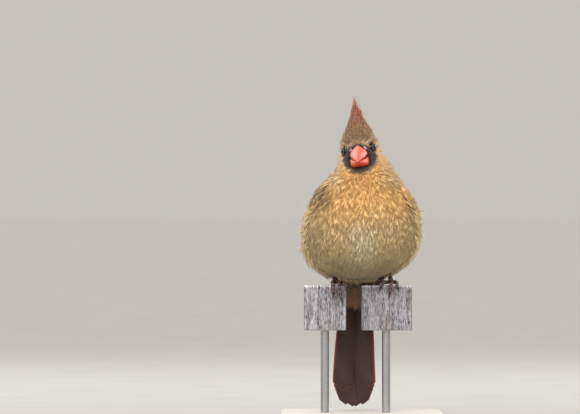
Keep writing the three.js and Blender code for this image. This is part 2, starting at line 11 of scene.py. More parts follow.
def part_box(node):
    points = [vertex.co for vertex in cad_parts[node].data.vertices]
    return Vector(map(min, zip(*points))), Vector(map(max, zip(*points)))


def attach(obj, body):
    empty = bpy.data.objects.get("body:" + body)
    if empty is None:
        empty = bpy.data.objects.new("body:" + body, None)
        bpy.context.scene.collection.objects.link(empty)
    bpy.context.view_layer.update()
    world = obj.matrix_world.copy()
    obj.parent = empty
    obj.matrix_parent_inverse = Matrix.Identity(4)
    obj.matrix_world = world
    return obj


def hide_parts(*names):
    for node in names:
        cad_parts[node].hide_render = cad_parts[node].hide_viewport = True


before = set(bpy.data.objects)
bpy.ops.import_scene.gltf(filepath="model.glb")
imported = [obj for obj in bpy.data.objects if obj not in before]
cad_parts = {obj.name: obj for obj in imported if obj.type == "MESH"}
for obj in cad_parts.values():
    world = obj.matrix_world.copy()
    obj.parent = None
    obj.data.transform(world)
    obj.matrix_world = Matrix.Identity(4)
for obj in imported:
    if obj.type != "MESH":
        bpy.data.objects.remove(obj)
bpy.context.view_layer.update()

# A female northern cardinal, life size, perched on two board ends on a display stand.
# Lengths below are millimetres and heights are measured from the top of the boards, unless a note says so.
mm = 0.001
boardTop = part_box("stand_perch_left")[1].z / mm
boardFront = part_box("stand_perch_left")[0].y / mm
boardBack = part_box("stand_perch_left")[1].y / mm
origin = np.array([0.0, 0.0, boardTop])
random.seed(7)
print("frame loaded, boards top at", round(boardTop, 2), "mm")


thinned = 1.0


# Colours and shader nodes

def hexColour(text):
    values = [int(text[i:i + 2], 16) / 255 for i in (1, 3, 5)]
    return tuple(v / 12.92 if v <= 0.04045 else ((v + 0.055) / 1.055) ** 2.4 for v in values)


def rgba(text):
    return (*hexColour(text), 1.0)


def addNode(tree, kind, settings=None, links=None):
    node = tree.nodes.new(kind)
    for name, value in (settings or {}).items():
        if isinstance(name, str) and hasattr(node, name):
            setattr(node, name, value)
        else:
            node.inputs[name].default_value = value
    for name, source in (links or {}).items():
        tree.links.new(source, node.inputs[name])
    return node


def newMaterial(name, settings):
    material = bpy.data.materials.new(name)
    material.use_nodes = True
    tree = material.node_tree
    shader = tree.nodes["Principled BSDF"]
    for socket, value in settings.items():
        shader.inputs[socket].default_value = value
    return material, tree, shader


def ramp(tree, source, stops):
    node = addNode(tree, "ShaderNodeValToRGB", links={"Fac": source})
    while len(node.color_ramp.elements) < len(stops):
        node.color_ramp.elements.new(0.5)
    for element, (place, colour) in zip(node.color_ramp.elements, stops):
        element.position = place
        element.color = rgba(colour)
    return node.outputs["Color"]


def bumpFrom(tree, shader, height, distance, strength=1.0):
    bump = addNode(tree, "ShaderNodeBump", {"Strength": strength, "Distance": distance * mm},
                   {"Height": height})
    tree.links.new(bump.outputs["Normal"], shader.inputs["Normal"])


def objectCoords(tree, scale=(1, 1, 1)):
    place = addNode(tree, "ShaderNodeTexCoord")
    mapping = addNode(tree, "ShaderNodeMapping", {"Scale": scale}, {"Vector": place.outputs["Object"]})
    return mapping.outputs["Vector"]


def noiseFrom(tree, size, detail=2.0, stretch=(1, 1, 1)):
    # Noise whose grains are size millimetres across, and longer where the stretch is under 1.
    grains = addNode(tree, "ShaderNodeTexNoise", {"Scale": 1 / (size * mm), "Detail": detail},
                     {"Vector": objectCoords(tree, stretch)})
    return grains.outputs["Fac"]


def carriedColour(tree):
    # The colour that the mesh carries at each corner of its shape.
    return addNode(tree, "ShaderNodeVertexColor", {"layer_name": "coat"}).outputs["Color"]


def colourBy(tree, shader, colour):
    tree.links.new(colour, shader.inputs["Base Color"])


def shadeBy(tree, colour, value, settings):
    # The colour, made lighter and darker as the value runs through the settings' range.
    shade = addNode(tree, "ShaderNodeMapRange", settings, {"Value": value})
    shaded = addNode(tree, "ShaderNodeVectorMath", {"operation": "SCALE"},
                     {0: colour, "Scale": shade.outputs["Result"]})
    return shaded.outputs["Vector"]


def levelRamp(tree, deep, base, pale):
    # Where the mesh carries a level from 0 to 1 in place of a colour, it runs through three colours.
    level = addNode(tree, "ShaderNodeSeparateColor", links={"Color": carriedColour(tree)})
    return ramp(tree, level.outputs["Red"], [(0.0, deep), (0.5, base), (1.0, pale)])


def plumageMaterial(name, roughness=0.85, sheen=0.16):
    # Keratin barbs: matte, with a soft sheen where many tips are seen edge on.
    # The colour is the coat's own markings, with a fine mottle 0.5 mm across.
    material, tree, shader = newMaterial(name, {
        "Roughness": roughness, "Sheen Weight": sheen, "Sheen Roughness": 0.5,
        "Specular IOR Level": 0.15, "IOR": 1.54})
    colourBy(tree, shader, shadeBy(tree, carriedColour(tree), noiseFrom(tree, 0.5),
                                   {"To Min": 0.86, "To Max": 1.12}))
    return material


def quillMaterial(name):
    # A flight feather: the vane's barbs cling together in broad bands that slant forward from the
    # shaft, each 0.42 of the vane's length apart.
    material, tree, shader = newMaterial(name, {
        "Roughness": 0.55, "Sheen Weight": 0.05, "Specular IOR Level": 0.3, "IOR": 1.54})

    def maths(operation, settings, links):
        return addNode(tree, "ShaderNodeMath", {"operation": operation, **settings}, links).outputs[0]
    lengthwise = addNode(tree, "ShaderNodeUVMap", {"uv_map": "vane"})
    parts = addNode(tree, "ShaderNodeSeparateXYZ", links={"Vector": lengthwise.outputs["UV"]})
    away = maths("ABSOLUTE", {}, {0: parts.outputs["X"]})
    slant = maths("MULTIPLY_ADD", {1: -0.9}, {0: away, 2: parts.outputs["Y"]})
    barbs = maths("SINE", {}, {0: maths("MULTIPLY", {1: 2 * math.pi / 0.42}, {0: slant})})
    colourBy(tree, shader, shadeBy(tree, carriedColour(tree), barbs,
                                   {"From Min": -1.0, "To Min": 0.84, "To Max": 1.12}))
    bumpFrom(tree, shader, barbs, 0.05, 0.6)
    return material


def hornMaterial(name, base, pale, deep):
    # Living horn over bone: satin keratin, faint lengthwise growth lines, painted highlights on its ridge and
    # edges.
    material, tree, shader = newMaterial(name, {
        "Roughness": 0.46, "Subsurface Weight": 0.12, "Subsurface Radius": (0.9, 0.35, 0.25),
        "Subsurface Scale": 1.0 * mm, "IOR": 1.5})
    lines = noiseFrom(tree, 0.6, 3.0, (1, 0.12, 1))
    colourBy(tree, shader, shadeBy(tree, levelRamp(tree, deep, base, pale), lines,
                                   {"To Min": 0.9, "To Max": 1.08}))
    bumpFrom(tree, shader, lines, 0.06, 0.4)
    return material


def scaleMaterial():
    # Horny scutes over tendon: dusky purplish brown, with a painted pink highlight on the upper side of the
    # raised plates.
    material, tree, shader = newMaterial("scaledLegSkin", {
        "Roughness": 0.42, "Subsurface Weight": 0.1, "Subsurface Radius": (0.8, 0.3, 0.25),
        "Subsurface Scale": 0.8 * mm, "IOR": 1.5})
    colourBy(tree, shader, levelRamp(tree, "#2A1B1A", "#604241", "#AC8684"))
    pores = addNode(tree, "ShaderNodeTexVoronoi", {"Scale": 1 / (0.45 * mm)},
                    {"Vector": objectCoords(tree)})
    bumpFrom(tree, shader, pores.outputs["Distance"], 0.05, 0.5)
    return material


def eyeMaterial():
    # A wet cornea over a dark brown iris and a black pupil, as glossy as a tear film. The rings are
    # carried on the mesh, and the iris has a fine mottle 0.3 mm across.
    material, tree, shader = newMaterial("wetDarkEye", {"Roughness": 0.05, "IOR": 1.376,
                                                         "Specular IOR Level": 0.45})
    colourBy(tree, shader, shadeBy(tree, carriedColour(tree), noiseFrom(tree, 0.3, 3.0),
                                   {"To Min": 0.5, "To Max": 1.5}))
    return material


def weatheredWoodMaterial():
    # Softwood board, sawn and left bare for years: silver grey, upright grain 1 to 3 mm apart,
    # with dark checks along it, a brown cast where rain has not bleached it, and a painted highlight on its
    # top edge.
    material, tree, shader = newMaterial("weatheredBoard", {"Roughness": 0.9,
                                                             "Specular IOR Level": 0.2})
    grain = addNode(tree, "ShaderNodeTexNoise", {"Scale": 1 / (1.1 * mm), "Detail": 7.0,
                                                  "Roughness": 0.65},
                    {"Vector": objectCoords(tree, (1, 1, 0.09))}).outputs["Fac"]
    fibres = noiseFrom(tree, 0.6, 4.0, (1, 1, 0.22))
    mixedGrain = addNode(tree, "ShaderNodeMix", {"data_type": "FLOAT", 0: 0.5}, {2: grain, 3: fibres})
    grey = ramp(tree, mixedGrain.outputs[0], [(0.37, "#3A3638"), (0.44, "#7C797E"),
                                              (0.52, "#A5A3AC"), (0.62, "#D0CFD6")])
    brown = ramp(tree, noiseFrom(tree, 14, 2.0, (1, 1, 0.4)), [(0.35, "#C8BBAE"), (0.6, "#FFFFFF")])
    cast = addNode(tree, "ShaderNodeMix", {"data_type": "RGBA", "blend_type": "MULTIPLY", 0: 0.8},
                   {6: grey, 7: brown})
    # The board grows up to 2.2 times brighter over its top 1.6 mm: a painted highlight where the light falls
    # on its top edge.
    height = addNode(tree, "ShaderNodeSeparateXYZ", links={"Vector": objectCoords(tree)})
    colourBy(tree, shader, shadeBy(tree, cast.outputs[2], height.outputs["Z"], {
        "From Min": (boardTop - 1.6) * mm, "From Max": (boardTop - 0.4) * mm,
        "To Min": 1.0, "To Max": 2.2}))
    relief = addNode(tree, "ShaderNodeMath", {"operation": "MULTIPLY_ADD", 1: 0.4}, {0: fibres, 2: grain})
    bumpFrom(tree, shader, relief.outputs[0], 0.5, 0.8)
    return material


def mottledMaterial(name, settings, size, stops, stretch=(1, 1, 1), relief=None):
    # A plain finish: two near colours in grains of the given size, which also carry its relief.
    material, tree, shader = newMaterial(name, settings)
    grains = noiseFrom(tree, size, stretch=stretch)
    colourBy(tree, shader, ramp(tree, grains, stops))
    if relief:
        bumpFrom(tree, shader, grains, *relief)
    return material


def clawMaterial():
    # Polished black horn, faintly brown along its growth.
    return mottledMaterial("blackClawHorn", {"Roughness": 0.26, "IOR": 1.55, "Coat Weight": 0.2},
                           0.5, [(0.3, "#0E0B0B"), (0.75, "#2C2120")], (1, 1, 0.2))


def paintedBaseMaterial():
    # Powder coat on a cast plate: a very fine orange peel, 0.7 mm across.
    return mottledMaterial("powderCoatedBase", {"Roughness": 0.55, "IOR": 1.5},
                           0.7, [(0.3, "#C9C6BF"), (0.7, "#D6D3CC")], relief=(0.04, 0.4))


def groundRodMaterial():
    # Stainless rod, ground round and round: fine rings 0.15 mm apart.
    return mottledMaterial("groundSteelRod", {"Metallic": 1.0, "Roughness": 0.32},
                           0.15, [(0.3, "#9A9A9C"), (0.7, "#B9B9BB")], (0.05, 0.05, 1), (0.02, 0.3))


def floorMaterial():
    # Matte pale paper, faintly mottled.
    return mottledMaterial("palePaperFloor", {"Roughness": 0.95},
                           60, [(0.3, "#A5A4A2"), (0.7, "#AAA9A7")])


# Curves and grids

def smoothStep(low, high, value):
    t = np.clip((value - low) / (high - low), 0, 1)
    return t * t * (3 - 2 * t)


def curveThrough(points):
    # A Catmull-Rom curve through the points: returns place and direction for a share from 0 to 1.
    knots = [Vector(p) for p in points]
    ends = [knots[0] * 2 - knots[1], *knots, knots[-1] * 2 - knots[-2]]
    count = len(knots) - 1

    def at(share):
        reach = min(max(share, 0), 1) * count
        k = min(int(reach), count - 1)
        t = reach - k
        a, b, c, d = ends[k:k + 4]
        place = 0.5 * (2 * b + (c - a) * t + (2 * a - 5 * b + 4 * c - d) * t * t
                       + (3 * b - a - 3 * c + d) * t ** 3)
        way = 0.5 * ((c - a) + 2 * (2 * a - 5 * b + 4 * c - d) * t + 3 * (3 * b - a - 3 * c + d) * t * t)
        return place, way.normalized()
    return at


def inRow(point):
    # From millimetres over the boards to metres over the floor.
    return Vector((point[0], point[1], point[2] + boardTop)) * mm


def linkPiece(name, mesh, material, replaced=()):
    piece = bpy.data.objects.new(name, mesh)
    bpy.context.scene.collection.objects.link(piece)
    mesh.materials.append(material)
    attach(piece, "root")
    if replaced:
        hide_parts(*replaced)
    return piece


def addGrid(work, surface, around, along, tone=None):
    # A grid whose long way runs from v 0 to 1 and whose short way wraps round, moved onto a surface.
    # The seam and the two ends are merged, so the shape is closed. The tone is a colour at each point.
    fresh = bmesh.new()
    uvLayer = fresh.loops.layers.uv.new("vane")
    toneLayer = fresh.verts.layers.float_color.new("coat")
    bmesh.ops.create_grid(fresh, x_segments=around, y_segments=along, size=0.5)
    spots = {vert: (vert.co.x + 0.5, vert.co.y + 0.5) for vert in fresh.verts}
    for vert, (u, v) in spots.items():
        vert.co = inRow(surface(u, v))
        shade = tone(u, v) if tone else (1, 1, 1)
        vert[toneLayer] = (*shade, 1)
    for face in fresh.faces:
        for loop in face.loops:
            loop[uvLayer].uv = spots[loop.vert]
    bmesh.ops.remove_doubles(fresh, verts=fresh.verts, dist=0.004 * mm)
    bmesh.ops.recalc_face_normals(fresh, faces=fresh.faces)
    mesh = bpy.data.meshes.new("part")
    fresh.to_mesh(mesh)
    fresh.free()
    work.from_mesh(mesh)
    bpy.data.meshes.remove(mesh)


def finishMesh(name, work, smooth=True):
    mesh = bpy.data.meshes.new(name)
    work.to_mesh(mesh)
    work.free()
    if smooth:
        mesh.polygons.foreach_set("use_smooth", [True] * len(mesh.polygons))
    return mesh


def linkWork(name, work, material, replaced=(), smooth=True):
    return linkPiece(name, finishMesh(name, work, smooth), material, replaced)


def boxWork(node):
    # A cube stretched over one of the solids' boxes, with the box's corners.
    low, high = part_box(node)
    work = bmesh.new()
    bmesh.ops.create_cube(work, size=1)
    size = high - low
    for vert in work.verts:
        vert.co = Vector((vert.co.x * size.x, vert.co.y * size.y, vert.co.z * size.z)) + (low + high) / 2
    return work, low, high


# The body's own measures, as the solids have them

# Each row is height, half width, front, back, centre across and the depth where the body is widest.
wingRows = [
    (-30, 9, -5, 24, -3, 16), (-15, 13, -5, 26.6, -2, 15), (-2, 18, -5, 27, -1.5, 12),
    (8, 24.5, -20, 27.2, -1.5, 2), (16.7, 33, -40.5, 28, -1.8, -3), (23, 35.6, -42.6, 29.4, -1, -4),
    (31, 36.6, -43, 30, -0.4, -4), (44, 35, -40.5, 29.6, 0, -4), (51, 32.2, -36.5, 27.8, 0.6, -3),
    (58, 28.6, -32, 25, 0.2, -3), (63, 25, -29.5, 22.6, 0, -3), (68, 20.4, -27.5, 20, 0.4, -4),
    (75, 17, -24, 14.5, 0.4, -6),
]
headPlace = {
    "centre": Vector((-1.6, -8, 83.7)),
    "roll": math.radians(8),  # the crest leans to the bird's right
    "yaw": math.radians(-5),  # the bill turns to the bird's right
}
headTurn = Matrix.Rotation(-headPlace["roll"], 3, "Y") @ Matrix.Rotation(headPlace["yaw"], 3, "Z")


def toHead(point):
    return headTurn @ Vector(point) + headPlace["centre"]


def headLocal(points):
    return (points - np.array(headPlace["centre"])) @ np.array(headTurn)


def readRows(rows, height):
    heights = [row[0] for row in rows]
    return [float(np.interp(height, heights, [row[k] for row in rows])) for k in range(len(rows[0]))]


def onWing(side, along, up, proud):
    # A place on the folded wing: its share of the way down, and of the way up from the front edge.
    frontEdge = np.interp(along, [-0.1, 0, 0.35, 0.7, 1, 1.2], [99, 102, 116, 139, 158, 160])
    backEdge = np.interp(along, [0, 0.3, 0.6, 1, 1.2], [138, 166, 173, 166, 164])
    angle = math.radians(frontEdge + (backEdge - frontEdge) * up)
    height = 62 + (-15 - 62) * along + 5 * up * (1 - along)
    _, half, front, back, centre, middle = readRows(wingRows, height)
    ahead = middle - front if math.cos(angle) > 0 else back - middle
    return Vector((centre + side * (half + proud) * math.sin(angle),
                   middle - (ahead + proud) * math.cos(angle), height))


def wingOutward(side, along, up):
    here = onWing(side, along, up, 0)
    down = onWing(side, along + 0.04, up, 0) - here
    over = onWing(side, along, up + 0.04, 0) - here
    return down.cross(over).normalized() * side


# Markings: one function colours the skin and the coat's feathers by where they grow

markingColours = {
    "breast": "#EEBE7A", "breastLow": "#E4C894", "bellyMid": "#E6D7B6", "belly": "#AC9A72",
    "bellySide": "#CFB788", "shoulder": "#94805F", "vent": "#7A654C", "cheek": "#E6C596",
    "throat": "#E6B070", "crown": "#98795A", "brow": "#CBAA80", "mask": "#3A3536",
    "maskEdge": "#7F756C", "nape": "#9C8862", "back": "#8A7C60", "rump": "#806C54",
    "browSpot": "#B0402A",
}
tints = {name: np.array(hexColour(text)) for name, text in markingColours.items()}


def noiseAt(points, size, offset=0.0):
    return np.array([noise.noise(Vector(p) / size + Vector((offset, 0, 0))) for p in points])


def maskShare(points):
    # 1 on the dark lores and chin round the bill, fading over their fringe. The forehead's olive
    # comes down to a thin black line over the bill.
    local = headLocal(points)
    x, z = np.abs(local[:, 0]), local[:, 2]
    reach = np.sqrt((x / 9.8) ** 2 + ((z + 4.8) / 8.6) ** 2) + 0.06 * noiseAt(points, 2.2, 3.0)
    forehead = smoothStep(0.6, 2.2, z - 0.28 * x) * smoothStep(8.4, 7.0, x)
    nearBill = smoothStep(1.16, 1.0, np.sqrt((x / 5.2) ** 2 + ((z + 3.4) / 6.4) ** 2))
    inFront = smoothStep(-3.5, -7.5, local[:, 1])
    share = (1 - smoothStep(0.84, 1.04, reach)) * (1 - forehead)
    return np.maximum(share, nearBill * smoothStep(-6.0, -8.5, local[:, 1])) * inFront


def markings(points):
    # Each tint is laid over the ones before it, for the share that stands beside it.
    x, y, z = points[:, 0], points[:, 1], points[:, 2]
    aside, local, mask = np.abs(x), headLocal(points), maskShare(points)
    wander = 3.5 * noiseAt(points, 14.0)
    bend = smoothStep(46, 58, z) * smoothStep(75, 68, z)
    behind = smoothStep(-2, 11, y + wander)
    chin = smoothStep(-10.6, -12.4, local[:, 2])
    fromBrow = np.linalg.norm(local - np.array([9.4, -6.5, 4.0]), axis=1)
    layers = (
        ("breastLow", smoothStep(54, 36, z + 1.6 * wander)),
        ("bellyMid", smoothStep(46, 34, z) * smoothStep(12, 3, aside) * 0.75),
        ("belly", smoothStep(30, 13, z + wander) * 0.9),
        ("vent", smoothStep(9, -1, z + wander * 0.5)),
        ("bellySide", smoothStep(15, 33, np.abs(x + 0.5) + 1.5 * wander) * smoothStep(64, 46, z) * 0.9),
        ("cheek", smoothStep(60, 67, z) * smoothStep(6, 14, aside)),
        ("throat", smoothStep(62, 68, z) * smoothStep(12, 5, aside) * 0.7),
        ("shoulder", smoothStep(13, 22, -x + wander) * bend * 0.85),
        ("shoulder", smoothStep(20, 30, x + wander) * bend * 0.5),
        ("back", behind * smoothStep(4, 14, z)),
        ("rump", behind * smoothStep(24, 8, z) * smoothStep(16, 22, y)),
        ("nape", smoothStep(-4, 6, y) * smoothStep(60, 70, z)),
        ("brow", smoothStep(-2.0, 1.0, local[:, 2] + 0.2 * wander)),
        ("crown", smoothStep(2.6, 6.0, local[:, 2] + 0.3 * wander) * smoothStep(11, 7, np.abs(local[:, 0]))),
        ("browSpot", smoothStep(2.3, 1.2, fromBrow) * 0.75),
        ("maskEdge", smoothStep(0.0, 0.5, mask)),
        ("mask", smoothStep(0.35, 0.95, mask) * (1 - 0.55 * chin)),
    )
    colour = np.tile(tints["breast"], (len(points), 1))
    for name, share in layers:
        colour = colour + (tints[name] - colour) * share[:, None]
    return colour


# Skin: the solids' head, neck and torso made one, drawn in by the depth of the coat

skinPlan = {
    "voxel": 0.95,
    "smoothing": 14,
    "bodyDepth": 1.8,
    "faceDepth": 1.0,
    "maskDepth": 0.5,
}


def coatDepth(points):
    local = headLocal(points)
    nearFace = smoothStep(-12, -4, local[:, 2]) * smoothStep(2, -8, local[:, 1])
    depth = skinPlan["bodyDepth"] + (skinPlan["faceDepth"] - skinPlan["bodyDepth"]) * nearFace
    return depth + (skinPlan["maskDepth"] - depth) * maskShare(points)


eyePlan = {
    "inset": {1: 0.7, -1: 0.35},  # how much deeper the left and the right ball sit than the solids'
    "share": 0.95,  # of the solid eye's radius
    "bulge": 0.25,  # how far the cornea stands out of the ball
    "lidAcross": 2.3, "lidUp": 2.0, "lidRoll": 0.3,
}


def eyePlaces():
    # Each eye's centre, radius and the way it looks.
    for side, name in ((1, "eye_left"), (-1, "eye_right")):
        low, high = (np.array(corner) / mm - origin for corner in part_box(name))
        look = (headTurn @ Vector((side, -0.34, 0.04))).normalized()
        centre = Vector((low + high) / 2) - look * eyePlan["inset"][side]
        yield centre, float(high[2] - low[2]) / 2 * eyePlan["share"], look


def fromEye(points, centre, look):
    # How far the points lie before an eye's centre, and aside of its line of sight.
    away = points - np.array(centre)
    ahead = away @ np.array(look)
    return ahead, np.sqrt(np.maximum(0, (away ** 2).sum(1) - ahead ** 2))


def meshValues(mesh, kind):
    # Every vertex's place, as "co", or its direction, as "normal".
    values = np.zeros(len(mesh.vertices) * 3)
    mesh.vertices.foreach_get(kind, values)
    return values.reshape(-1, 3)


def meshPlaces(mesh):
    return meshValues(mesh, "co") / mm - origin


def paintMesh(mesh, colours):
    layer = mesh.color_attributes.get("coat")
    if layer is None:
        layer = mesh.color_attributes.new("coat", "FLOAT_COLOR", "POINT")
    layer.data.foreach_set("color", np.hstack([colours, np.ones((len(colours), 1))]).ravel())


def makeSkin():
    whole = bmesh.new()
    for name in ("head", "neck", "torso"):
        whole.from_mesh(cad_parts[name].data)
    bmesh.ops.remove_doubles(whole, verts=whole.verts, dist=0.001 * mm)
    raw = finishMesh("skinRaw", whole)
    shell = bpy.data.objects.new("skinRaw", raw)
    bpy.context.scene.collection.objects.link(shell)
    fused = shell.modifiers.new("fuse", "REMESH")
    fused.mode = "VOXEL"
    fused.voxel_size = skinPlan["voxel"] * mm
    evened = shell.modifiers.new("even", "SMOOTH")
    evened.iterations = skinPlan["smoothing"]
    evened.factor = 0.5
    mesh = bpy.data.meshes.new_from_object(shell.evaluated_get(bpy.context.evaluated_depsgraph_get()))
    mesh.name = "skin_body"
    bpy.data.objects.remove(shell)
    points = meshPlaces(mesh)
    points = points - meshValues(mesh, "normal") * coatDepth(points)[:, None]
    for centre, radius, look in eyePlaces():
        # The socket: skin that would lie over the ball sinks to the ball's middle.
        ahead, aside = fromEye(points, centre, look)
        sink = smoothStep(radius * 0.98, radius * 0.78, aside) * (ahead > 0) * (ahead < radius * 2)
        points = points - np.array(look) * (ahead * sink)[:, None]
    mesh.vertices.foreach_set("co", ((points + origin) * mm).ravel())
    # The skin carries the markings at 0.6 of their brightness: painted shade of the coat that lies over it.
    paintMesh(mesh, markings(points) * 0.6)
    mesh.polygons.foreach_set("use_smooth", [True] * len(mesh.polygons))
    mesh.update()
    return mesh


# Feathers of the coat

# Each barb is a tapered sliver of three sides, and a feather is a fan of barbs along its shaft.
def barbedTemplate(barbs, seed, kind="soft"):
    draw = np.random.default_rng(seed)
    points, faces = [], []
    for k in range(barbs):
        fan = 2 * k / (barbs - 1) - 1
        if kind == "long":
            # Barbs leave the shaft at staggered places, so the feather narrows to a point.
            step = abs(fan)
            start = np.array([0.03 * fan, 0.8 * (1 - step)])
            end = np.array([0.5 * fan * (1.25 - 0.5 * step), 1.0 - 0.42 * step ** 1.3])
            if step < 0.08:
                start = np.array([0.0, 0.0])
        elif kind == "wisp":
            start = np.array([0.05 * fan, 0.0])
            end = np.array([0.5 * fan + draw.uniform(-0.1, 0.1), draw.uniform(0.55, 1.0)])
        else:
            start = np.array([0.22 * fan, 0.05 * abs(fan)])
            end = np.array([0.5 * fan + draw.uniform(-0.04, 0.04), 1 - 0.34 * abs(fan) ** 1.8])
        end[1] += draw.uniform(-0.38, 0.08)
        way = end - start
        cross = np.array([-way[1], way[0]]) / np.linalg.norm(way)
        broad = {"soft": 1.25, "long": 1.1, "wisp": 0.35}[kind] / barbs
        low = 0.04 * fan * fan
        for t, wide in ((0.0, 0.6), (0.55, 1.0)):
            centre = start + way * t + cross * 0.05 * math.sin(math.pi * t) * fan
            half = cross * broad * wide * 0.5
            points += [[*(centre - half), -low * t], [*(centre + half), -low * t],
                       [*centre, 0.04 * wide - low * t]]
        points.append([*end, 0.015])
        base = 7 * k
        for side in range(3):
            a, b = base + side, base + (side + 1) % 3
            faces += [[a, b, b + 3], [a, b + 3, a + 3], [a + 3, b + 3, base + 6]]
        faces.append([base + 2, base + 1, base])
    return np.array(points), np.array(faces)


def turnAt(points):
    # The turn round the body's middle, 0 at its front.
    return np.arctan2(points[:, 0] + 0.6, -(points[:, 1] + 5))


def skinUnwrap(points):
    # Round the body and up it: an unwrap of the skin's own shape.
    across = turnAt(points) / (2 * math.pi) + 0.5
    up = np.clip((points[:, 2] + 16) / 140, 0, 1)
    return np.stack([0.02 + 0.96 * across, 0.02 + 0.96 * up], 1)


def growFeathers(name, plan, material, replaced=()):
    # plan holds arrays: root, middle and tip of each feather, the way across, width, colours at both ends.
    count = len(plan["root"])
    variants = plan["templates"]
    size, faceSize = len(variants[0][0]), len(variants[0][1])
    pick = np.arange(count) % len(variants)
    local = np.stack([points for points, _ in variants])[pick]
    t = local[:, :, 1:2]
    root, middle, tip = (plan[k][:, None, :] for k in ("root", "middle", "tip"))
    place = (1 - t) ** 2 * root + 2 * t * (1 - t) * middle + t * t * tip
    ahead = (1 - t) * (middle - root) + t * (tip - middle)
    ahead /= np.linalg.norm(ahead, axis=2, keepdims=True) + 1e-9
    across = np.repeat(plan["across"][:, None, :], size, 1)
    out = np.cross(across, ahead)
    out /= np.linalg.norm(out, axis=2, keepdims=True) + 1e-9
    width = plan["width"][:, None, None]
    place = place + across * local[:, :, 0:1] * width + out * local[:, :, 2:3] * width
    faces = variants[0][1][None] + (np.arange(count) * size)[:, None, None]
    mesh = bpy.data.meshes.new(name)
    mesh.vertices.add(count * size)
    mesh.vertices.foreach_set("co", ((place.reshape(-1, 3) + origin) * mm).ravel())
    flat = faces.reshape(-1)
    mesh.loops.add(len(flat))
    mesh.loops.foreach_set("vertex_index", flat)
    mesh.polygons.add(count * faceSize)
    mesh.polygons.foreach_set("loop_start", np.arange(0, len(flat), 3))
    mesh.polygons.foreach_set("use_smooth", np.ones(count * faceSize, bool))
    mesh.update(calc_edges=True)
    low, high = plan["rootColour"][:, None, :], plan["tipColour"][:, None, :]
    # Each barb is a little lighter or darker than the next, which draws the coat's fine streaks.
    streak = np.broadcast_to(plan.get("streak", 0.18), (count,))[:, None]
    barbTint = 1 + np.random.default_rng(count).normal(0, 1, (count, size // 7)) * streak
    barbTint = np.repeat(np.clip(barbTint, 0.55, 2.4), 7, axis=1)[:, :, None]
    paintMesh(mesh, ((low + (high - low) * t) * barbTint).reshape(-1, 3))
    uvLayer = mesh.uv_layers.new(name="OFBake")
    patch = skinUnwrap(plan["root"])[:, None, :] + local[:, :, :2] * 0.003
    uvLayer.data.foreach_set("uv", patch.reshape(-1, 2)[flat].ravel())
    return linkPiece(name, mesh, material, replaced)


def spread(mesh, spacing, chosen, seed):
    # Points spread evenly over the mesh, each with the skin's normal, at least the spacing apart.
    draw = np.random.default_rng(seed)
    mesh.calc_loop_triangles()
    corners = np.array([t.vertices for t in mesh.loop_triangles])
    points = meshPlaces(mesh)
    normals = meshValues(mesh, "normal")
    a, b, c = (points[corners[:, k]] for k in range(3))
    area = np.linalg.norm(np.cross(b - a, c - a), axis=1) / 2
    gapAt = spacing((a + b + c) / 3)
    weight = area / gapAt ** 2
    tries = int(weight.sum() * 3.2)
    face = draw.choice(len(area), tries, p=weight / weight.sum())
    r1, r2 = np.sqrt(draw.random(tries)), draw.random(tries)
    mix = np.stack([1 - r1, r1 * (1 - r2), r1 * r2], 1)[:, :, None]
    spots = (points[corners[face]] * mix).sum(1)
    ways = (normals[corners[face]] * mix).sum(1)
    ways /= np.linalg.norm(ways, axis=1, keepdims=True)
    use = chosen(spots)
    spots, ways = spots[use], ways[use]
    gaps = spacing(spots)
    cell = float(gaps.max())
    kept, grid = [], {}
    keys = np.floor(spots / cell).astype(int)
    for k, (key, gap) in enumerate(zip(map(tuple, keys), gaps)):
        near = (j for step in product((-1, 0, 1), repeat=3)
                for j in grid.get(tuple(map(sum, zip(key, step))), ()))
        spot = spots[k]
        if all((spot[0] - spots[j][0]) ** 2 + (spot[1] - spots[j][1]) ** 2
               + (spot[2] - spots[j][2]) ** 2 > gap * gap for j in near):
            kept.append(k)
            grid.setdefault(key, []).append(k)
    return spots[kept], ways[kept]


def lie(points, normals):
    # The way the coat lies: away from the bill on the head, then down the body towards the tail.
    bill = np.array(toHead((0, -27, -5)))
    fromBill = points - bill
    fromBill /= np.linalg.norm(fromBill, axis=1, keepdims=True)
    toTail = np.array([-3.0, 18.0, -16.0]) - points
    toTail /= np.linalg.norm(toTail, axis=1, keepdims=True)
    down = np.tile([0.0, 0.05, -1.0], (len(points), 1))
    low = smoothStep(30, 4, points[:, 2])[:, None]
    body = down * (1 - low) + toTail * low
    body[:, 0] += 0.012 * points[:, 0] * smoothStep(40, 70, points[:, 2])
    high = smoothStep(62, 74, points[:, 2])[:, None]
    way = body * (1 - high) + fromBill * high
    way -= normals * (way * normals).sum(1, keepdims=True)
    return way / (np.linalg.norm(way, axis=1, keepdims=True) + 1e-9)


def skinTree(mesh):
    return BVHTree.FromPolygons([tuple(p) for p in meshPlaces(mesh)],
                                [tuple(face.vertices) for face in mesh.polygons])


def onSkin(tree, guesses, heights):
    # The places at the given heights over the skin that lie nearest to the guesses.
    places = np.empty_like(guesses)
    for k, guess in enumerate(guesses):
        spot, normal, _, _ = tree.find_nearest(Vector(guess))
        places[k] = spot + normal * float(heights[k])
    return places


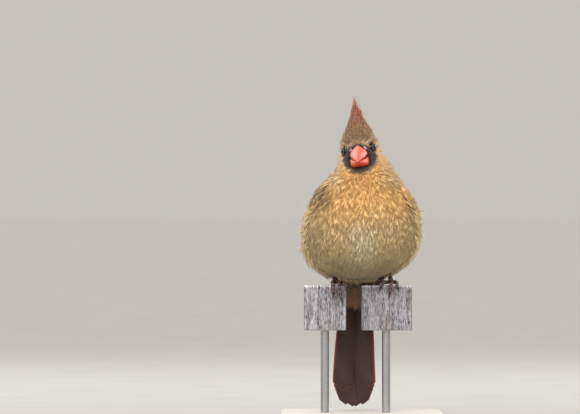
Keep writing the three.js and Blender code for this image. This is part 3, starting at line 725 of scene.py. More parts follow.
def coatPlan(points, normals, templates, lengthAt, widthShare, lift, seed, pale=0.05, ragged=0.12,
             tree=None, outward=0.0):
    # With a tree of the skin, a feather follows the skin and rises evenly from root to tip. Without
    # one it bends back with the body's general swell.
    draw = np.random.default_rng(seed)
    count = len(points)
    way = lie(points, normals)
    way[:, 0] += outward * np.sign(points[:, 0]) * smoothStep(0, 4, np.abs(points[:, 0]))
    way /= np.linalg.norm(way, axis=1, keepdims=True)
    across = np.cross(way, normals)
    turn = draw.normal(0, ragged, count)[:, None]
    way = way * np.cos(turn) + across * np.sin(turn)
    across = np.cross(way, normals)
    length = (lengthAt(points) * draw.uniform(0.82, 1.18, count))[:, None]
    rise = (lift(points) * draw.uniform(0.94, 1.06, count))[:, None]
    if tree is None:
        middle = points + way * length * 0.5 + normals * (rise * 0.85 + 0.1)
        tip = points + way * length + normals * (rise - length ** 2 / 95.0)
    else:
        middle = onSkin(tree, points + way * length * 0.52, rise[:, 0] * 0.62)
        tip = onSkin(tree, middle + (middle - points) * 0.95, rise[:, 0])
    # Each feather is painted darker at its root (0.88), as painted shade under the feathers over it, and
    # paler at its tip by the pale share, as a painted highlight.
    colour = markings(points) * draw.normal(1.0, 0.03, count)[:, None]
    return {
        "root": points - normals * 0.35, "middle": middle, "tip": tip,
        "across": across, "width": (length * widthShare)[:, 0], "templates": templates,
        "rootColour": colour * 0.88, "tipColour": colour * (1 + pale),
    }


def pickFeathers(plan, pick):
    return {k: v[pick] if isinstance(v, np.ndarray) else v for k, v in plan.items()}


def planOf(rows, templates, **more):
    # A plan from one row for each feather, of the values that growFeathers reads.
    keys = ("root", "middle", "tip", "across", "width", "rootColour", "tipColour")
    columns = ([tuple(v) if isinstance(v, Vector) else v for v in column] for column in zip(*rows))
    arrays = {key: np.array(column, float) for key, column in zip(keys, columns)}
    return {**arrays, "templates": templates, **more}


def shareOut(plan, most):
    # Splits a plan into even runs round the body, each under the most feathers a piece may hold.
    order = np.argsort(turnAt(plan["root"]))
    for run in np.array_split(order, math.ceil(len(order) / most)):
        yield pickFeathers(plan, run)


# Lengths in millimetres and turns in degrees round from the front. A patch's faces are the seeds of
# its feathers' shapes, and its seeds those of their places and of their lie.
coatPieces = {
    "body": {"spacing": 1.5, "barbs": 15, "length": 11.0, "widthShare": 0.36, "lift": 0.95, "most": 1250,
             "faces": range(6)},
    "head": {"spacing": 0.66, "barbs": 9, "length": 3.8, "widthShare": 0.46, "lift": 0.7, "most": 2100,
             "faces": range(6)},
    "flank_fluff": {"spacing": 2.1, "barbs": 9, "kind": "wisp", "faces": range(30, 34), "length": 9.0,
                    "widthShare": 0.5, "lift": 3.4, "pale": 0.5, "ragged": 0.3, "seeds": (13, 23),
                    "turns": (68, 112), "heights": (8, 58)},
    "vent": {"spacing": 1.5, "barbs": 15, "faces": range(6), "length": 8.5, "widthShare": 0.4,
             "lift": 1.3, "pale": 0.15, "seeds": (17, 27)},
    "filaments": {"count": 13, "reach": (6.5, 10.5), "colour": "#E9E2D4", "barbs": 5, "kind": "wisp",
                  "faces": range(70, 74),
                  "places": ((-1, 47), (-1, 34), (1, 44), (1, 39), (1, 30), (-1, 22))},
    "cape": {"spacing": 1.6, "barbs": 15, "faces": range(50, 54), "length": 9.5, "widthShare": 0.4,
             "lift": 2.8, "pale": 0.08, "seeds": (14, 24), "turns": (62, 108), "heights": (52, 70)},
    "mantle": {"spacing": 1.5, "barbs": 13, "faces": range(54, 58), "length": 9.5, "widthShare": 0.44,
               "lift": 3.2, "seeds": (16, 25), "outward": 0.6},
    "nape": {"spacing": 1.5, "barbs": 13, "faces": range(54, 58), "length": 9.5, "widthShare": 0.44,
             "lift": 2.3, "seeds": (16, 25), "outward": 0.15},
}


def templatesOf(patch):
    return [barbedTemplate(patch["barbs"], seed, patch.get("kind", "soft")) for seed in patch["faces"]]


def isHead(points):
    return points[:, 2] > 69.5 + 0.25 * (points[:, 1] + 28)


def clearOfParts(points):
    # No feather grows under the bill.
    local = headLocal(points)
    inBill = np.sqrt((local[:, 0] / 5.2) ** 2 + ((local[:, 2] + 2.2) / 5.4) ** 2) < 0.95
    inJaw = (np.abs(local[:, 0]) < 6.3) & (local[:, 2] < -3.5) & (local[:, 2] > -11.3)
    return ~((inBill | inJaw) & (local[:, 1] < -8.5))


def foreheadShort(points):
    # The first feathers over the bill are the shortest of all.
    local = headLocal(points)
    return 1 - 0.45 * smoothStep(7.0, 4.0, local[:, 2]) * (local[:, 2] > 0) * (local[:, 1] < -8)


def crownPuff(points):
    # 1 where the crown's side feathers fluff out over the brows.
    local = headLocal(points)
    return smoothStep(-0.6, 2.2, local[:, 2]) * smoothStep(5.0, 8.2, np.abs(local[:, 0]))


def neckPuff(points):
    # 1 on the left of the neck, where the turned head pushes the feathers out.
    x, z = points[:, 0], points[:, 2]
    return (smoothStep(4, 12, x) * smoothStep(60, 67, z) * smoothStep(84, 76, z)
            * smoothStep(6, -4, points[:, 1]))


def besideEyes(points, places, side, reach, rise):
    # 1 on the feathers close to an eye, behind it where the side is 1 and before it where it is -1.
    share = np.zeros(len(points))
    for centre, radius, look in places:
        away = np.linalg.norm(points - np.array(centre), axis=1)
        back = headLocal(points)[:, 1] - headLocal(np.array([centre]))[0, 1]
        share += smoothStep(radius + reach[0], radius + reach[1], away) * smoothStep(*rise, back * side)
    return np.clip(share, 0, 1)


def behindEye(points):
    # 1 on the ear coverts just behind and under each eye, which fluff out past the ball.
    return besideEyes(points, eyePlaces(), 1, (6.0, 1.0), (-0.6, 1.0))


def beforeEye(points):
    # Feathers rooted just before the right eye are short, so that they end at its rim.
    return 1 - 0.42 * besideEyes(points, list(eyePlaces())[1:], -1, (3.2, 0.6), (-0.4, 0.9))


def clearOfEyes(plan):
    # Feathers whose vane would cross an eye's opening are left out.
    keep = np.ones(len(plan["root"]), bool)
    for centre, radius, look in eyePlaces():
        for share in (0.0, 0.2, 0.4, 0.6, 0.8, 1.0):
            spot = ((1 - share) ** 2 * plan["root"] + 2 * share * (1 - share) * plan["middle"]
                    + share ** 2 * plan["tip"])
            ahead, aside = fromEye(spot, centre, look)
            keep &= ~((aside < radius * (0.95 if share == 0 else 0.84)) & (ahead > 0))
    return pickFeathers(plan, keep)


def sideTurn(points):
    # The turn round from the front, the same on both sides.
    return np.abs(np.arctan2(points[:, 0] + 0.4, -(points[:, 1] + 4)))


def inBand(patch):
    # The places between a patch's turns and heights.
    def chosen(points):
        turn, height = sideTurn(points), points[:, 2]
        least, most = np.radians(patch["turns"])
        return ((turn > least) & (turn < most)
                & (height > patch["heights"][0]) & (height < patch["heights"][1]))
    return chosen


def patchPlan(skin, patch, chosen, tree=None):
    # The feathers of one patch, all about as long and as raised.
    spots, ways = spread(skin, lambda p: np.full(len(p), thinned * patch["spacing"]), chosen,
                         patch["seeds"][0])
    return coatPlan(spots, ways, templatesOf(patch), lambda p: np.full(len(p), patch["length"]),
                    patch["widthShare"], lambda p: np.full(len(p), patch["lift"]), patch["seeds"][1],
                    patch.get("pale", 0.05), patch.get("ragged", 0.12), tree, patch.get("outward", 0.0))


def onVent(points):
    return ((np.abs(points[:, 0] + 2.5) < 13) & (points[:, 2] < 12)
            & (points[:, 1] > -13) & (points[:, 1] < 14))


def onMantle(points):
    # A strip beside the wing's inner edge, from the rump up to the shoulder.
    half = np.interp(points[:, 2], [row[0] for row in wingRows], [row[1] for row in wingRows])
    edge = np.interp((62 - points[:, 2]) / 77, (-0.1, 0, 0.3, 0.6, 1), (132, 138, 166, 173, 166))
    inner = half * np.sin(np.radians(edge))
    aside = np.abs(points[:, 0])
    strip = (points[:, 1] > 8) & (points[:, 2] > 10) & (aside < inner + 0.5) & (aside > inner - 5.5)
    return strip & (points[:, 2] < 70)


def onNape(points):
    return (points[:, 1] > 0) & (points[:, 2] > 62) & (points[:, 2] < 74)


def makeBodyCoat(skin, tree, material):
    body = coatPieces["body"]
    spots, ways = spread(
        skin, lambda p: thinned * body["spacing"] * (0.72 + 0.28 * smoothStep(68, 50, p[:, 2])),
        lambda p: ~isHead(p), 11)
    plan = coatPlan(
        spots, ways, templatesOf(body),
        lambda p: body["length"] * (0.62 + 0.38 * smoothStep(70, 50, p[:, 2])), body["widthShare"],
        lambda p: body["lift"] * (0.8 + 0.3 * smoothStep(60, 30, p[:, 2])) + 2.6 * neckPuff(p), 21,
        tree=tree)
    plan["streak"] = 0.11 + 0.08 * smoothStep(38, 56, spots[:, 2])
    # The ends are painted paler on the lower flanks, a painted rim light along the body's outline.
    turn = sideTurn(spots)
    rimLightShare = smoothStep(1.05, 1.5, turn) * smoothStep(2.3, 1.9, turn) * smoothStep(46, 34, spots[:, 2])
    plan["tipColour"] = plan["tipColour"] * (1 + 0.4 * rimLightShare[:, None])
    for k, part in enumerate(shareOut(plan, body["most"])):
        growFeathers(f"coat_body_{k:02d}", part, material)
    print("body coat", len(spots), "feathers")


def makeFilaments(tree, material):
    # White filaments that stand out of the outline, at places up its two sides.
    tufts = coatPieces["filaments"]
    draw = np.random.default_rng(15)
    centres, ways = [], []
    for side, height in tufts["places"]:
        for k in range(tufts["count"]):
            place = Vector((side * 60, draw.uniform(-8, -1), height + draw.uniform(-2.5, 2.5)))
            centres.append(tree.ray_cast(place, Vector((-side, 0, 0)))[0])
            ways.append((side * 0.9, draw.uniform(0.0, 0.35), draw.uniform(-0.45, 0.2)))
    centres, ways = np.array(centres), np.array(ways)
    ways /= np.linalg.norm(ways, axis=1, keepdims=True)
    reach = draw.uniform(*tufts["reach"], len(ways))[:, None]
    growFeathers("coat_filaments", {
        "root": centres, "middle": centres + ways * reach * 0.5 + (0, 0, 0.6), "tip": centres + ways * reach,
        "across": np.cross(ways, (0.0, 1.0, 0.0)), "width": reach[:, 0] * 0.26,
        "templates": templatesOf(tufts), "rootColour": markings(centres),
        "tipColour": np.tile(hexColour(tufts["colour"]), (len(ways), 1))}, material)


def makeHeadCoat(skin, tree, material):
    head = coatPieces["head"]
    spots, ways = spread(skin, lambda p: thinned * head["spacing"] * (1 - 0.25 * maskShare(p)),
                         lambda p: isHead(p) & clearOfParts(p), 12)
    for centre, radius, look in eyePlaces():
        # Round a socket the skin's own normals turn into it, so the head's general swell takes over.
        away = spots - np.array(centre)
        near = smoothStep(radius + 2.6, radius + 1.4, np.linalg.norm(away, axis=1))[:, None]
        swell = (headLocal(spots) * (1.0, 0.8, 0.9)) @ np.array(headTurn).T
        ways = ways * (1 - near) + near * swell / np.linalg.norm(swell, axis=1, keepdims=True)
        ways /= np.linalg.norm(ways, axis=1, keepdims=True)

    def lengthAt(points):
        puff = 1 + 0.6 * np.maximum(crownPuff(points), behindEye(points))
        short = foreheadShort(points) * beforeEye(points)
        return head["length"] * (1.15 - 0.6 * maskShare(points)) * short * puff

    def liftAt(points):
        crown = (2.1 - 0.5 * (points[:, 0] > 0)) * crownPuff(points)
        return (head["lift"] * (1 - 0.4 * maskShare(points)) + crown
                + np.maximum(1.9 * behindEye(points), 2.6 * neckPuff(points)))
    plan = coatPlan(spots, ways, templatesOf(head), lengthAt, head["widthShare"], liftAt, 22,
                    pale=0.06, tree=tree)
    plan["streak"] = 0.15 + 0.55 * maskShare(spots)
    plan = clearOfEyes(plan)
    for k, part in enumerate(shareOut(plan, head["most"])):
        growFeathers(f"coat_head_{k:02d}", part, material)
    print("head coat", len(spots), "feathers")


def makeCoat(skin, material):
    tree = skinTree(skin)
    makeBodyCoat(skin, tree, material)
    # Loose flank feathers stand out past the wing's front edge, their ends painted paler as a painted
    # highlight where they catch the light.
    fluff = coatPieces["flank_fluff"]
    growFeathers("coat_flank_fluff", patchPlan(skin, fluff, inBand(fluff)), material)
    # Loose feathers of the vent hang between the legs and into the gap of the boards.
    plan = patchPlan(skin, coatPieces["vent"], onVent)
    inGap = smoothStep(4.6, 3.8, np.abs(plan["tip"][:, 0] + 5.2))
    plan["tip"][:, 2] = np.maximum(plan["tip"][:, 2] - 3.4, 0.5 - 7 * inGap)
    plan["middle"][:, 2] = np.maximum(plan["middle"][:, 2] - 1.2, 0.9 - 5 * inGap)
    growFeathers("coat_vent", plan, material)
    makeFilaments(tree, material)
    # Feathers of the breast's sides lap over the bend of the wing.
    cape = coatPieces["cape"]
    growFeathers("coat_cape", patchPlan(skin, cape, inBand(cape)), material)
    # The mantle's feathers lap out from the back over the inner and upper edges of the wings.
    growFeathers("coat_mantle", patchPlan(skin, coatPieces["mantle"], onMantle), material)
    growFeathers("coat_nape", patchPlan(skin, coatPieces["nape"], onNape, tree), material)
    makeHeadCoat(skin, tree, material)


# Crest

crestPlan = {
    "rows": 36,
    "across": 12,
    "outline": ((3, 11.2), (5.2, 11.3), (11.6, 9.4), (17, 7.0), (24, 4.3), (26.4, 3.6), (30, 2.5), (35, 0.2)),
    "tips": ((-0.3, 34.9, 13), (1.5, 34.3, 15), (0.6, 33.6, 17), (3.9, 30.2, 11), (2.9, 31.6, 14)),
}
crestColours = {"olive": "#96794F", "dark": "#5E4730", "dusk": "#9C4E38", "red": "#A83A26"}


def makeCrest(skin, material):
    # Crown feathers grow longer row by row towards the nape, and the hindmost meet in the points.
    tree = skinTree(skin)
    olive, dark, dusk, red = (np.array(hexColour(v)) for v in crestColours.values())
    heights, halves = zip(*crestPlan["outline"])
    rows = []

    def addPlume(rootX, rootY, tip, width):
        start = toHead((rootX, rootY, 30))
        root = tree.ray_cast(start, headTurn @ Vector((0, 0, -1)))[0]
        if root is None:
            return
        root = Vector(headLocal(np.array([root]))[0])
        if root.z < (3.6 if rootY < -10 else 1.2):
            return
        tip = Vector(tip)
        middle = root.lerp(tip, 0.5) + Vector((0.08 * (root.x - tip.x), -0.08 * (tip - root).length, 0.5))
        middle.x += 0.1 * root.x
        facing = headTurn @ Vector((0.05 * tip.x + random.uniform(-1.1, 1.1), -1, 0.35))
        across = (headTurn @ (tip - root)).cross(facing).normalized()
        high = float(smoothStep(13, 27, tip.z + random.uniform(-5, 5)))
        grown = markings(np.array([toHead(root)]))[0]
        base = olive + (dark - olive) * random.random() * 0.5
        base = base + (grown - base) * max(0.35, float(smoothStep(4, 8, abs(root.x))))
        warm = dusk + (red - dusk) * random.random()
        colour = base + (warm - base) * high * random.uniform(0.75, 1)
        # The root is painted a little darker than the base colour: painted shade under the plumes over it.
        rows.append((toHead(root), toHead(middle), toHead(tip), across, width,
                     base * 0.86, colour * random.uniform(0.92, 1.12)))
    for row in range(crestPlan["rows"]):
        share = row / (crestPlan["rows"] - 1)
        for k in range(crestPlan["across"]):
            aside = 2 * (k + 0.5 * (row % 2)) / (crestPlan["across"] - 0.5) - 1
            aside = min(1, max(-1, aside + random.uniform(-0.06, 0.06)))
            height = 7.5 + 27 * share ** 0.85 * (1 - 0.6 * abs(aside) ** 2.6) - 2.5 * abs(aside)
            height *= random.uniform(0.93, 1.03)
            half = float(np.interp(height, heights, halves))
            tip = (aside * half, -9 + 25 * share ** 0.9 + random.uniform(-0.5, 0.5), height)
            addPlume(aside * (5.6 + 3.2 * min(1, 3 * share) - 1.6 * share), -12.6 + 22.5 * share, tip,
                     2.2 + 1.1 * share)
    for x, z, y in crestPlan["tips"]:
        addPlume(x * 0.8, y - 10, (x, y, z), 2.6)
    plan = planOf(rows, [barbedTemplate(13, seed, "long") for seed in range(40, 46)], streak=0.16)
    growFeathers("crest_feathers", plan, material, ["crest"])
    print("crest", len(rows), "feathers")


# Flight feathers

def addQuill(work, path, outward, width, tone, shape, steps=(10, 18)):
    # One quill: a thin vane round a raised shaft, rounded at its tip. The grid's short way goes over
    # the upper face and back along the lower one.
    curve = curveThrough(path)

    def surface(u, along):
        place, ahead = curve(along)
        facing = outward(along) if callable(outward) else outward
        across = ahead.cross(facing).normalized()
        across = Matrix.Rotation(shape.get("tilt", 0), 3, ahead) @ across
        out = across.cross(ahead)
        swell = shape["root"] + (1 - shape["root"]) * math.sin(math.pi * min(along * 0.9, 0.5))
        ending = max(0.0, (along - shape["round"]) / (1 - shape["round"]))
        close = math.sqrt(max(0.0, 1 - ending ** 2))
        turn = 2 * math.pi * u
        aside = math.cos(turn)
        thick = shape["thickness"] * (0.35 + 0.65 * close)
        shaft = shape["thickness"] * 1.1 * math.exp(-(aside / 0.09) ** 2) * (1 - 0.7 * along)
        lift = (thick / 2 + shaft) * math.sin(turn)
        camber = -shape.get("camber", 0.6) * aside * aside * swell * close
        lean = 0.12 * shape.get("lean", 0)
        reach = (aside + lean * (1 - aside ** 2)) * width / 2 * swell * close
        return place + across * reach + out * (lift + camber)
    addGrid(work, surface, steps[0] * 2, steps[1], tone)


def flightTone(base, edge, side=1, pale=0.2):
    # The vane's ground colour with a warmer outer edge and a slightly paler shaft.
    ground, rim = np.array(hexColour(base)), np.array(hexColour(edge))
    ground = ground * random.uniform(0.9, 1.1)

    def tone(u, v):
        aside = math.cos(2 * math.pi * u) * side
        share = float(smoothStep(0.74, 1.0, aside))
        colour = ground + (rim - ground) * share
        shaft = math.exp(-(aside / 0.08) ** 2)
        return tuple(colour * (1 + pale * shaft) * (0.92 + 0.16 * v))
    return tone


def spanAt(ends, share):
    return ends[0] + (ends[1] - ends[0]) * share


def addTier(work, side, tier):
    # A tier of like feathers side by side, each with an edge under the next one.
    for k in range(tier["count"]):
        share = k / (tier["count"] - 1)
        start, end = spanAt(tier["from"], share), spanAt(tier["to"], share)
        rootUp, tipUp = (spanAt(ends, share) for ends in zip(tier["low"], tier["high"]))

        def proud(t):
            # The front edge lies close, under the side feathers of the breast.
            return tier["lift"] * (0.1 + 0.9 * float(smoothStep(0.0, 0.5, at(t)[1])))

        def at(t):
            return start + (end - start) * t, rootUp + (tipUp - rootUp) * t
        path = [onWing(side, *at(t), proud(t) - 0.9 + 0.9 * t) for t in (0, 0.33, 0.67, 1)]
        tone = flightTone(tier["ground"], tier["edge"], side)
        width = tier["width"] * random.uniform(0.95, 1.05)
        shape = {"root": 0.6, "round": tier["round"], "thickness": 0.22, "tilt": -tier["tilt"] * side,
                 "camber": 0.5, "lean": side}
        addQuill(work, path, lambda t: wingOutward(side, *at(t)), width, tone, shape, (9, 14))


# Shares of the wing's length and of its height, from the first feather of a tier to the last: where
# the roots start and the tips end, and how high the lowest and the highest feather's root and tip are.
wingTiers = [
    {"count": 9, "from": (0.3, 0.3), "to": (1.0, 0.8), "low": (0.06, 0.16), "high": (0.36, 0.62),
     "lift": 0.6, "width": 6.2, "tilt": 0.3, "round": 0.86, "ground": "#6E584A", "edge": "#9A5644"},
    {"count": 6, "from": (0.28, 0.28), "to": (0.76, 0.72), "low": (0.3, 0.16), "high": (0.62, 0.64),
     "lift": 1.5, "width": 8.4, "tilt": 0.22, "round": 0.86, "ground": "#6E594A", "edge": "#A45C44"},
    {"count": 3, "from": (0.2, 0.16), "to": (0.66, 0.49), "low": (0.64, 0.7), "high": (0.86, 0.92),
     "lift": 2.5, "width": 10.4, "tilt": 0.2, "round": 0.82, "ground": "#7C6852", "edge": "#A0765A"},
    {"count": 9, "from": (0.12, 0.12), "to": (0.36, 0.34), "low": (0.05, 0.08), "high": (0.84, 0.86),
     "lift": 2.6, "width": 6.6, "tilt": 0.22, "round": 0.7, "ground": "#84704F", "edge": "#A8765A"},
    {"count": 8, "from": (0.02, 0.02), "to": (0.2, 0.2), "low": (0.08, 0.1), "high": (0.84, 0.86),
     "lift": 3.1, "width": 6.8, "tilt": 0.2, "round": 0.66, "ground": "#91805F", "edge": "#AE8E68"},
]


def makeWing(side, name, material, plumage):
    work = bmesh.new()
    for tier in wingTiers:
        addTier(work, side, tier)
    linkWork(f"wing_quills_{name}", work, material, [f"wing_{name}"])
    # Lesser coverts and scapulars cover the wing's root and shoulder as small soft feathers.
    draw = np.random.default_rng(60 + side)
    count = 620
    along = draw.uniform(-0.07, 0.13, count)
    up = draw.uniform(-0.04, 1.12, count)
    inner = up > 0.86
    along[inner] = draw.uniform(-0.07, 0.3, inner.sum())
    rise = smoothStep(-0.07, 0.08, along) * smoothStep(0, 0.5, up) * smoothStep(1.2, 0.85, up)
    roots = np.array([onWing(side, *place) for place in zip(along, up, -0.6 + 3.2 * rise)])
    normals = np.array([wingOutward(side, *place) for place in zip(along, up)])
    templates = [barbedTemplate(7, seed) for seed in range(80, 84)]
    plan = coatPlan(roots, normals, templates, lambda p: np.full(len(p), 7.2), 0.5,
                    lambda p: np.full(len(p), 0.9), 90 + side)
    growFeathers(f"wing_shoulder_{name}", plan, plumage)
    print("wing", name)


# A dark feather with a pale edge curls out beside each leg.
thighPlan = {
    "dark": "#2B201B", "edge": "#D9C9B2",
    "feathers": (
        {"path": ((8.0, -7.0, 9.5), (10.6, -8.4, 5.6), (13.6, -7.4, 2.7)), "width": 5.2},
        {"path": ((-21.6, -6.5, 10.5), (-20.6, -7.6, 7.6), (-18.0, -7.0, 5.2)), "width": 4.0}),
    "shape": {"root": 0.7, "round": 0.6, "thickness": 0.25, "camber": 1.0},
}


def makeThighFeathers(material):
    work = bmesh.new()
    dark, rim = (np.array(hexColour(thighPlan[key])) for key in ("dark", "edge"))

    def tone(u, v):
        edge = max(smoothStep(0.8, 0.97, abs(math.cos(2 * math.pi * u))), smoothStep(0.86, 0.96, v))
        return tuple(dark + (rim - dark) * float(edge))
    for feather in thighPlan["feathers"]:
        addQuill(work, feather["path"], Vector((0, -1, -0.2)), feather["width"], tone,
                 thighPlan["shape"], (10, 20))
    linkWork("thigh_feathers", work, material)


# Tail: twelve quills folded into a stack, the outer ones in front, with coverts before and behind

tailPlan = {"tip": -76, "centre": -4.6, "width": 27, "front": 13.4, "step": 0.5, "layers": 7}


def makeTail(material, plumage):
    work = bmesh.new()
    for layer in range(tailPlan["layers"]):
        outer = max(0, layer - 1) / 5
        for side in ([1] if layer == 0 else [-1] if layer == 1 else [1, -1]):
            depth = tailPlan["front"] + 0.8 + (6 - layer) * tailPlan["step"]
            width = 11 if layer < 2 else 9.4 + (tailPlan["width"] / 2 - 0.2 - 9.4) * outer
            inset = side * 1 if layer < 2 else side * (width / 2 + 0.2)
            centre = tailPlan["centre"]
            path = [
                (centre + 1.2 + inset * 0.25, 17 - layer * 0.35, 4),
                (centre + 0.8 + inset * 0.62, depth + 0.4, -18),
                (centre + inset * 0.9, depth, -50),
                (centre + inset, depth, tailPlan["tip"] + 12 * outer ** 1.4),
            ]
            tone = flightTone("#3A2421", "#642A22" if layer < 6 else "#923A2A", -side, 0.3)
            # The outer quills slope back at their free edges, so the folded tail is a shallow roof.
            shape = {"root": 0.5, "round": 0.9, "thickness": 0.32, "camber": 0.9, "lean": -side,
                     "tilt": 0.2 * outer * side}
            addQuill(work, path, Vector((0, -1, 0)), width, tone, shape, (9, 26))
    linkWork("tail_quills", work, material, ["tail"])
    # Coverts sleeve the tail's root, ring over ring.
    draw = np.random.default_rng(70)
    covertRows = []
    under, over = np.array(hexColour("#BC977A")), np.array(hexColour("#94705A"))
    centre = np.array([-3.6, 15.8, 0.0])
    rings, around = ((7, 26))
    for ring in range(rings):
        down = ring / (rings - 1)
        for k in range(around):
            turn = 2 * math.pi * (k + 0.5 * (ring % 2)) / around + draw.uniform(-0.1, 0.1)
            out = np.array([math.sin(turn), -math.cos(turn), 0.0])
            root = centre + out * (6.4 - 1.0 * down, 4.6 - 1.4 * down, 0) + (0, 0, 4.5 - 11 * down)
            length = draw.uniform(9.5, 12)
            tip = centre + out * (7.6 + 0.5 * down, 4.3 - 0.8 * down, 0) + (0, 0, root[2] - length)
            middle = (root + tip) / 2 + out * 1.2
            colour = (under if math.cos(turn) > 0 else over) * draw.uniform(0.8, 1.15)
            ahead = (tip - root) / np.linalg.norm(tip - root)
            # The root is painted darker: painted shade under the ring over it.
            covertRows.append((root, middle, tip, np.cross(ahead, out), 5.0, colour * 0.75, colour))
    plan = planOf(covertRows, [barbedTemplate(15, seed) for seed in range(100, 104)])
    growFeathers("tail_coverts", plan, plumage)
    print("tail")


# Bill

billPlan = {
    "length": 20, "face": -10.6, "gape": -4.3, "upperHalf": 5.3, "lowerHalf": 6.2,
    "flatFrom": 0.76,  # the share of the way round where a mandible's flat side begins
    "nostrils": ((3.1, -13.2, 0.9), (-3.1, -13.2, 0.9)),
    "bristles": 6,
}


def gapeLine(t):
    return billPlan["gape"] - 3.3 * t ** 1.3 - 0.5 * math.sin(math.pi * min(1, t * 1.4))


def makeBill(upperMaterial, lowerMaterial, plumage):
    flatFrom = billPlan["flatFrom"]

    def power(value, exponent):
        return math.copysign(abs(value) ** exponent, value)

    def upper(u, v):
        # A ridged arch, widest a third of the way up, over the flat face that meets the lower mandible.
        t = 1 - (1 - v) ** 1.25
        half = billPlan["upperHalf"] * (1 - t ** 1.7) + 0.22 * (1 - v ** 6)
        high = -7.4 + 10.4 * max(0, 1 - t ** 1.9) ** 0.8
        low = gapeLine(t) - 0.2 * t
        widest = low + 0.27 * (high - low)
        if u < flatFrom:
            angle = math.radians(-40 + 260 * u / flatFrom)
            x = half * power(math.cos(angle), 1.8 if 0 < angle < math.pi else 1)
            rise = math.sin(angle)
            z = widest + ((high - widest) * rise ** 1.15 if rise > 0 else (widest - low) * rise / 0.643)
        else:
            back = (u - flatFrom) / (1 - flatFrom)
            x = half * 0.766 * (2 * back - 1)
            z = low + 0.5 * (1 - t) * math.sin(math.pi * back)
        y = billPlan["face"] - billPlan["length"] * t
        for nostril in billPlan["nostrils"]:
            gone = ((x - nostril[0]) ** 2 + 0.5 * (y - nostril[1]) ** 2 + (z - nostril[2]) ** 2) / 0.62
            x -= math.copysign(0.9 * math.exp(-gone * 1.6), nostril[0])
        return toHead((x, y, z))

    def lower(u, v):
        # A trough with upright sides and square lower corners, hollow under the chin.
        t = 1 - (1 - v) ** 1.25
        half = billPlan["lowerHalf"] * (1 - t ** 1.9) + 0.22 * (1 - v ** 6)
        high = gapeLine(t * 0.86) - 0.3
        low = -8.4 - 2.8 * (1 - t ** 1.6)
        if u < flatFrom:
            angle = math.pi * u / flatFrom
            x = power(math.cos(angle), 0.5)
            drop = math.sin(angle) ** 0.5
        else:
            back = (u - flatFrom) / (1 - flatFrom)
            x = 2 * back - 1
            drop = 0.06 * (1 - t) * math.sin(math.pi * back)
        z = high - (high - low) * drop + 0.9 * (1 - t) ** 2 * drop ** 4 * (1 - x * x)
        return toHead((x * half * (0.87 + 0.13 * drop), billPlan["face"] - (billPlan["length"] - 3) * t, z))

    def upperTone(u, v):
        # The ridge is painted paler: a painted highlight along the culmen.
        ridgeHighlight = math.exp(-((u - 0.38) / 0.07) ** 2) * (0.75 + 0.25 * v)
        edge = float(smoothStep(0.09, 0.0, min(u, abs(flatFrom - u)))) if u < flatFrom else 1
        level = 0.5 + 0.4 * ridgeHighlight - 0.28 * edge + 0.12 * (1 - v)
        x, y, z = headLocal(np.array([upper(u, v)]))[0]
        # Round each nostril the horn is paler, and nearly black in the nostril itself: painted shade in the
        # hole.
        for nostril in billPlan["nostrils"]:
            gone = math.sqrt((x - nostril[0]) ** 2 + 0.5 * (y - nostril[1]) ** 2 + (z - nostril[2]) ** 2)
            level += (1.0 - level) * float(smoothStep(1.9, 1.1, gone))
            level -= 0.95 * level * float(smoothStep(0.75, 0.45, gone))
        return (level, level, level)

    def lowerTone(u, v):
        # A paler band along the upper edge of each side, fading towards the tip, is a painted highlight; the
        # horn grows a little darker towards the tip.
        aside = min(u, abs(flatFrom - u))
        level = 0.52 + 0.42 * math.exp(-((aside - 0.03) / 0.05) ** 2) * (1 - v) - 0.1 * v
        return (level, level, level)
    for name, surface, tone, material in (
            ("bill_upper", upper, upperTone, upperMaterial),
            ("bill_lower", lower, lowerTone, lowerMaterial)):
        work = bmesh.new()
        addGrid(work, surface, 96, 56, tone)
        linkWork(f"{name}_horn", work, material, [name])
    makeBristles(plumage)
    print("bill")


def makeBristles(plumage):
    # Pale bristles lie forward over the nostrils.
    draw = np.random.default_rng(110)
    rows = []
    pale = np.array(hexColour("#E2CDBE"))
    for side in (1, -1):
        for k in range(billPlan["bristles"]):
            high = draw.uniform(0.1, 1.2)
            root = Vector((side * (5.5 - 0.5 * high), -12.3, high - 0.2))
            tip = root + Vector((-side * draw.uniform(1.0, 1.9), -draw.uniform(1.2, 1.9),
                                 draw.uniform(0.1, 0.9)))
            middle = root.lerp(tip, 0.5) + Vector((side * 0.15, -0.7, 0))
            # The root is painted a little darker: painted shade where it meets the face.
            rows.append((toHead(root), toHead(middle), toHead(tip), headTurn @ Vector((0, 0, 1)),
                         1.1, pale * 0.8, pale))
    plan = planOf(rows, [barbedTemplate(5, seed) for seed in range(112, 115)])
    growFeathers("nostril_bristles", plan, plumage)


# Eyes: the ball with its wet cornea, and the two lids as soft rolls of bare skin

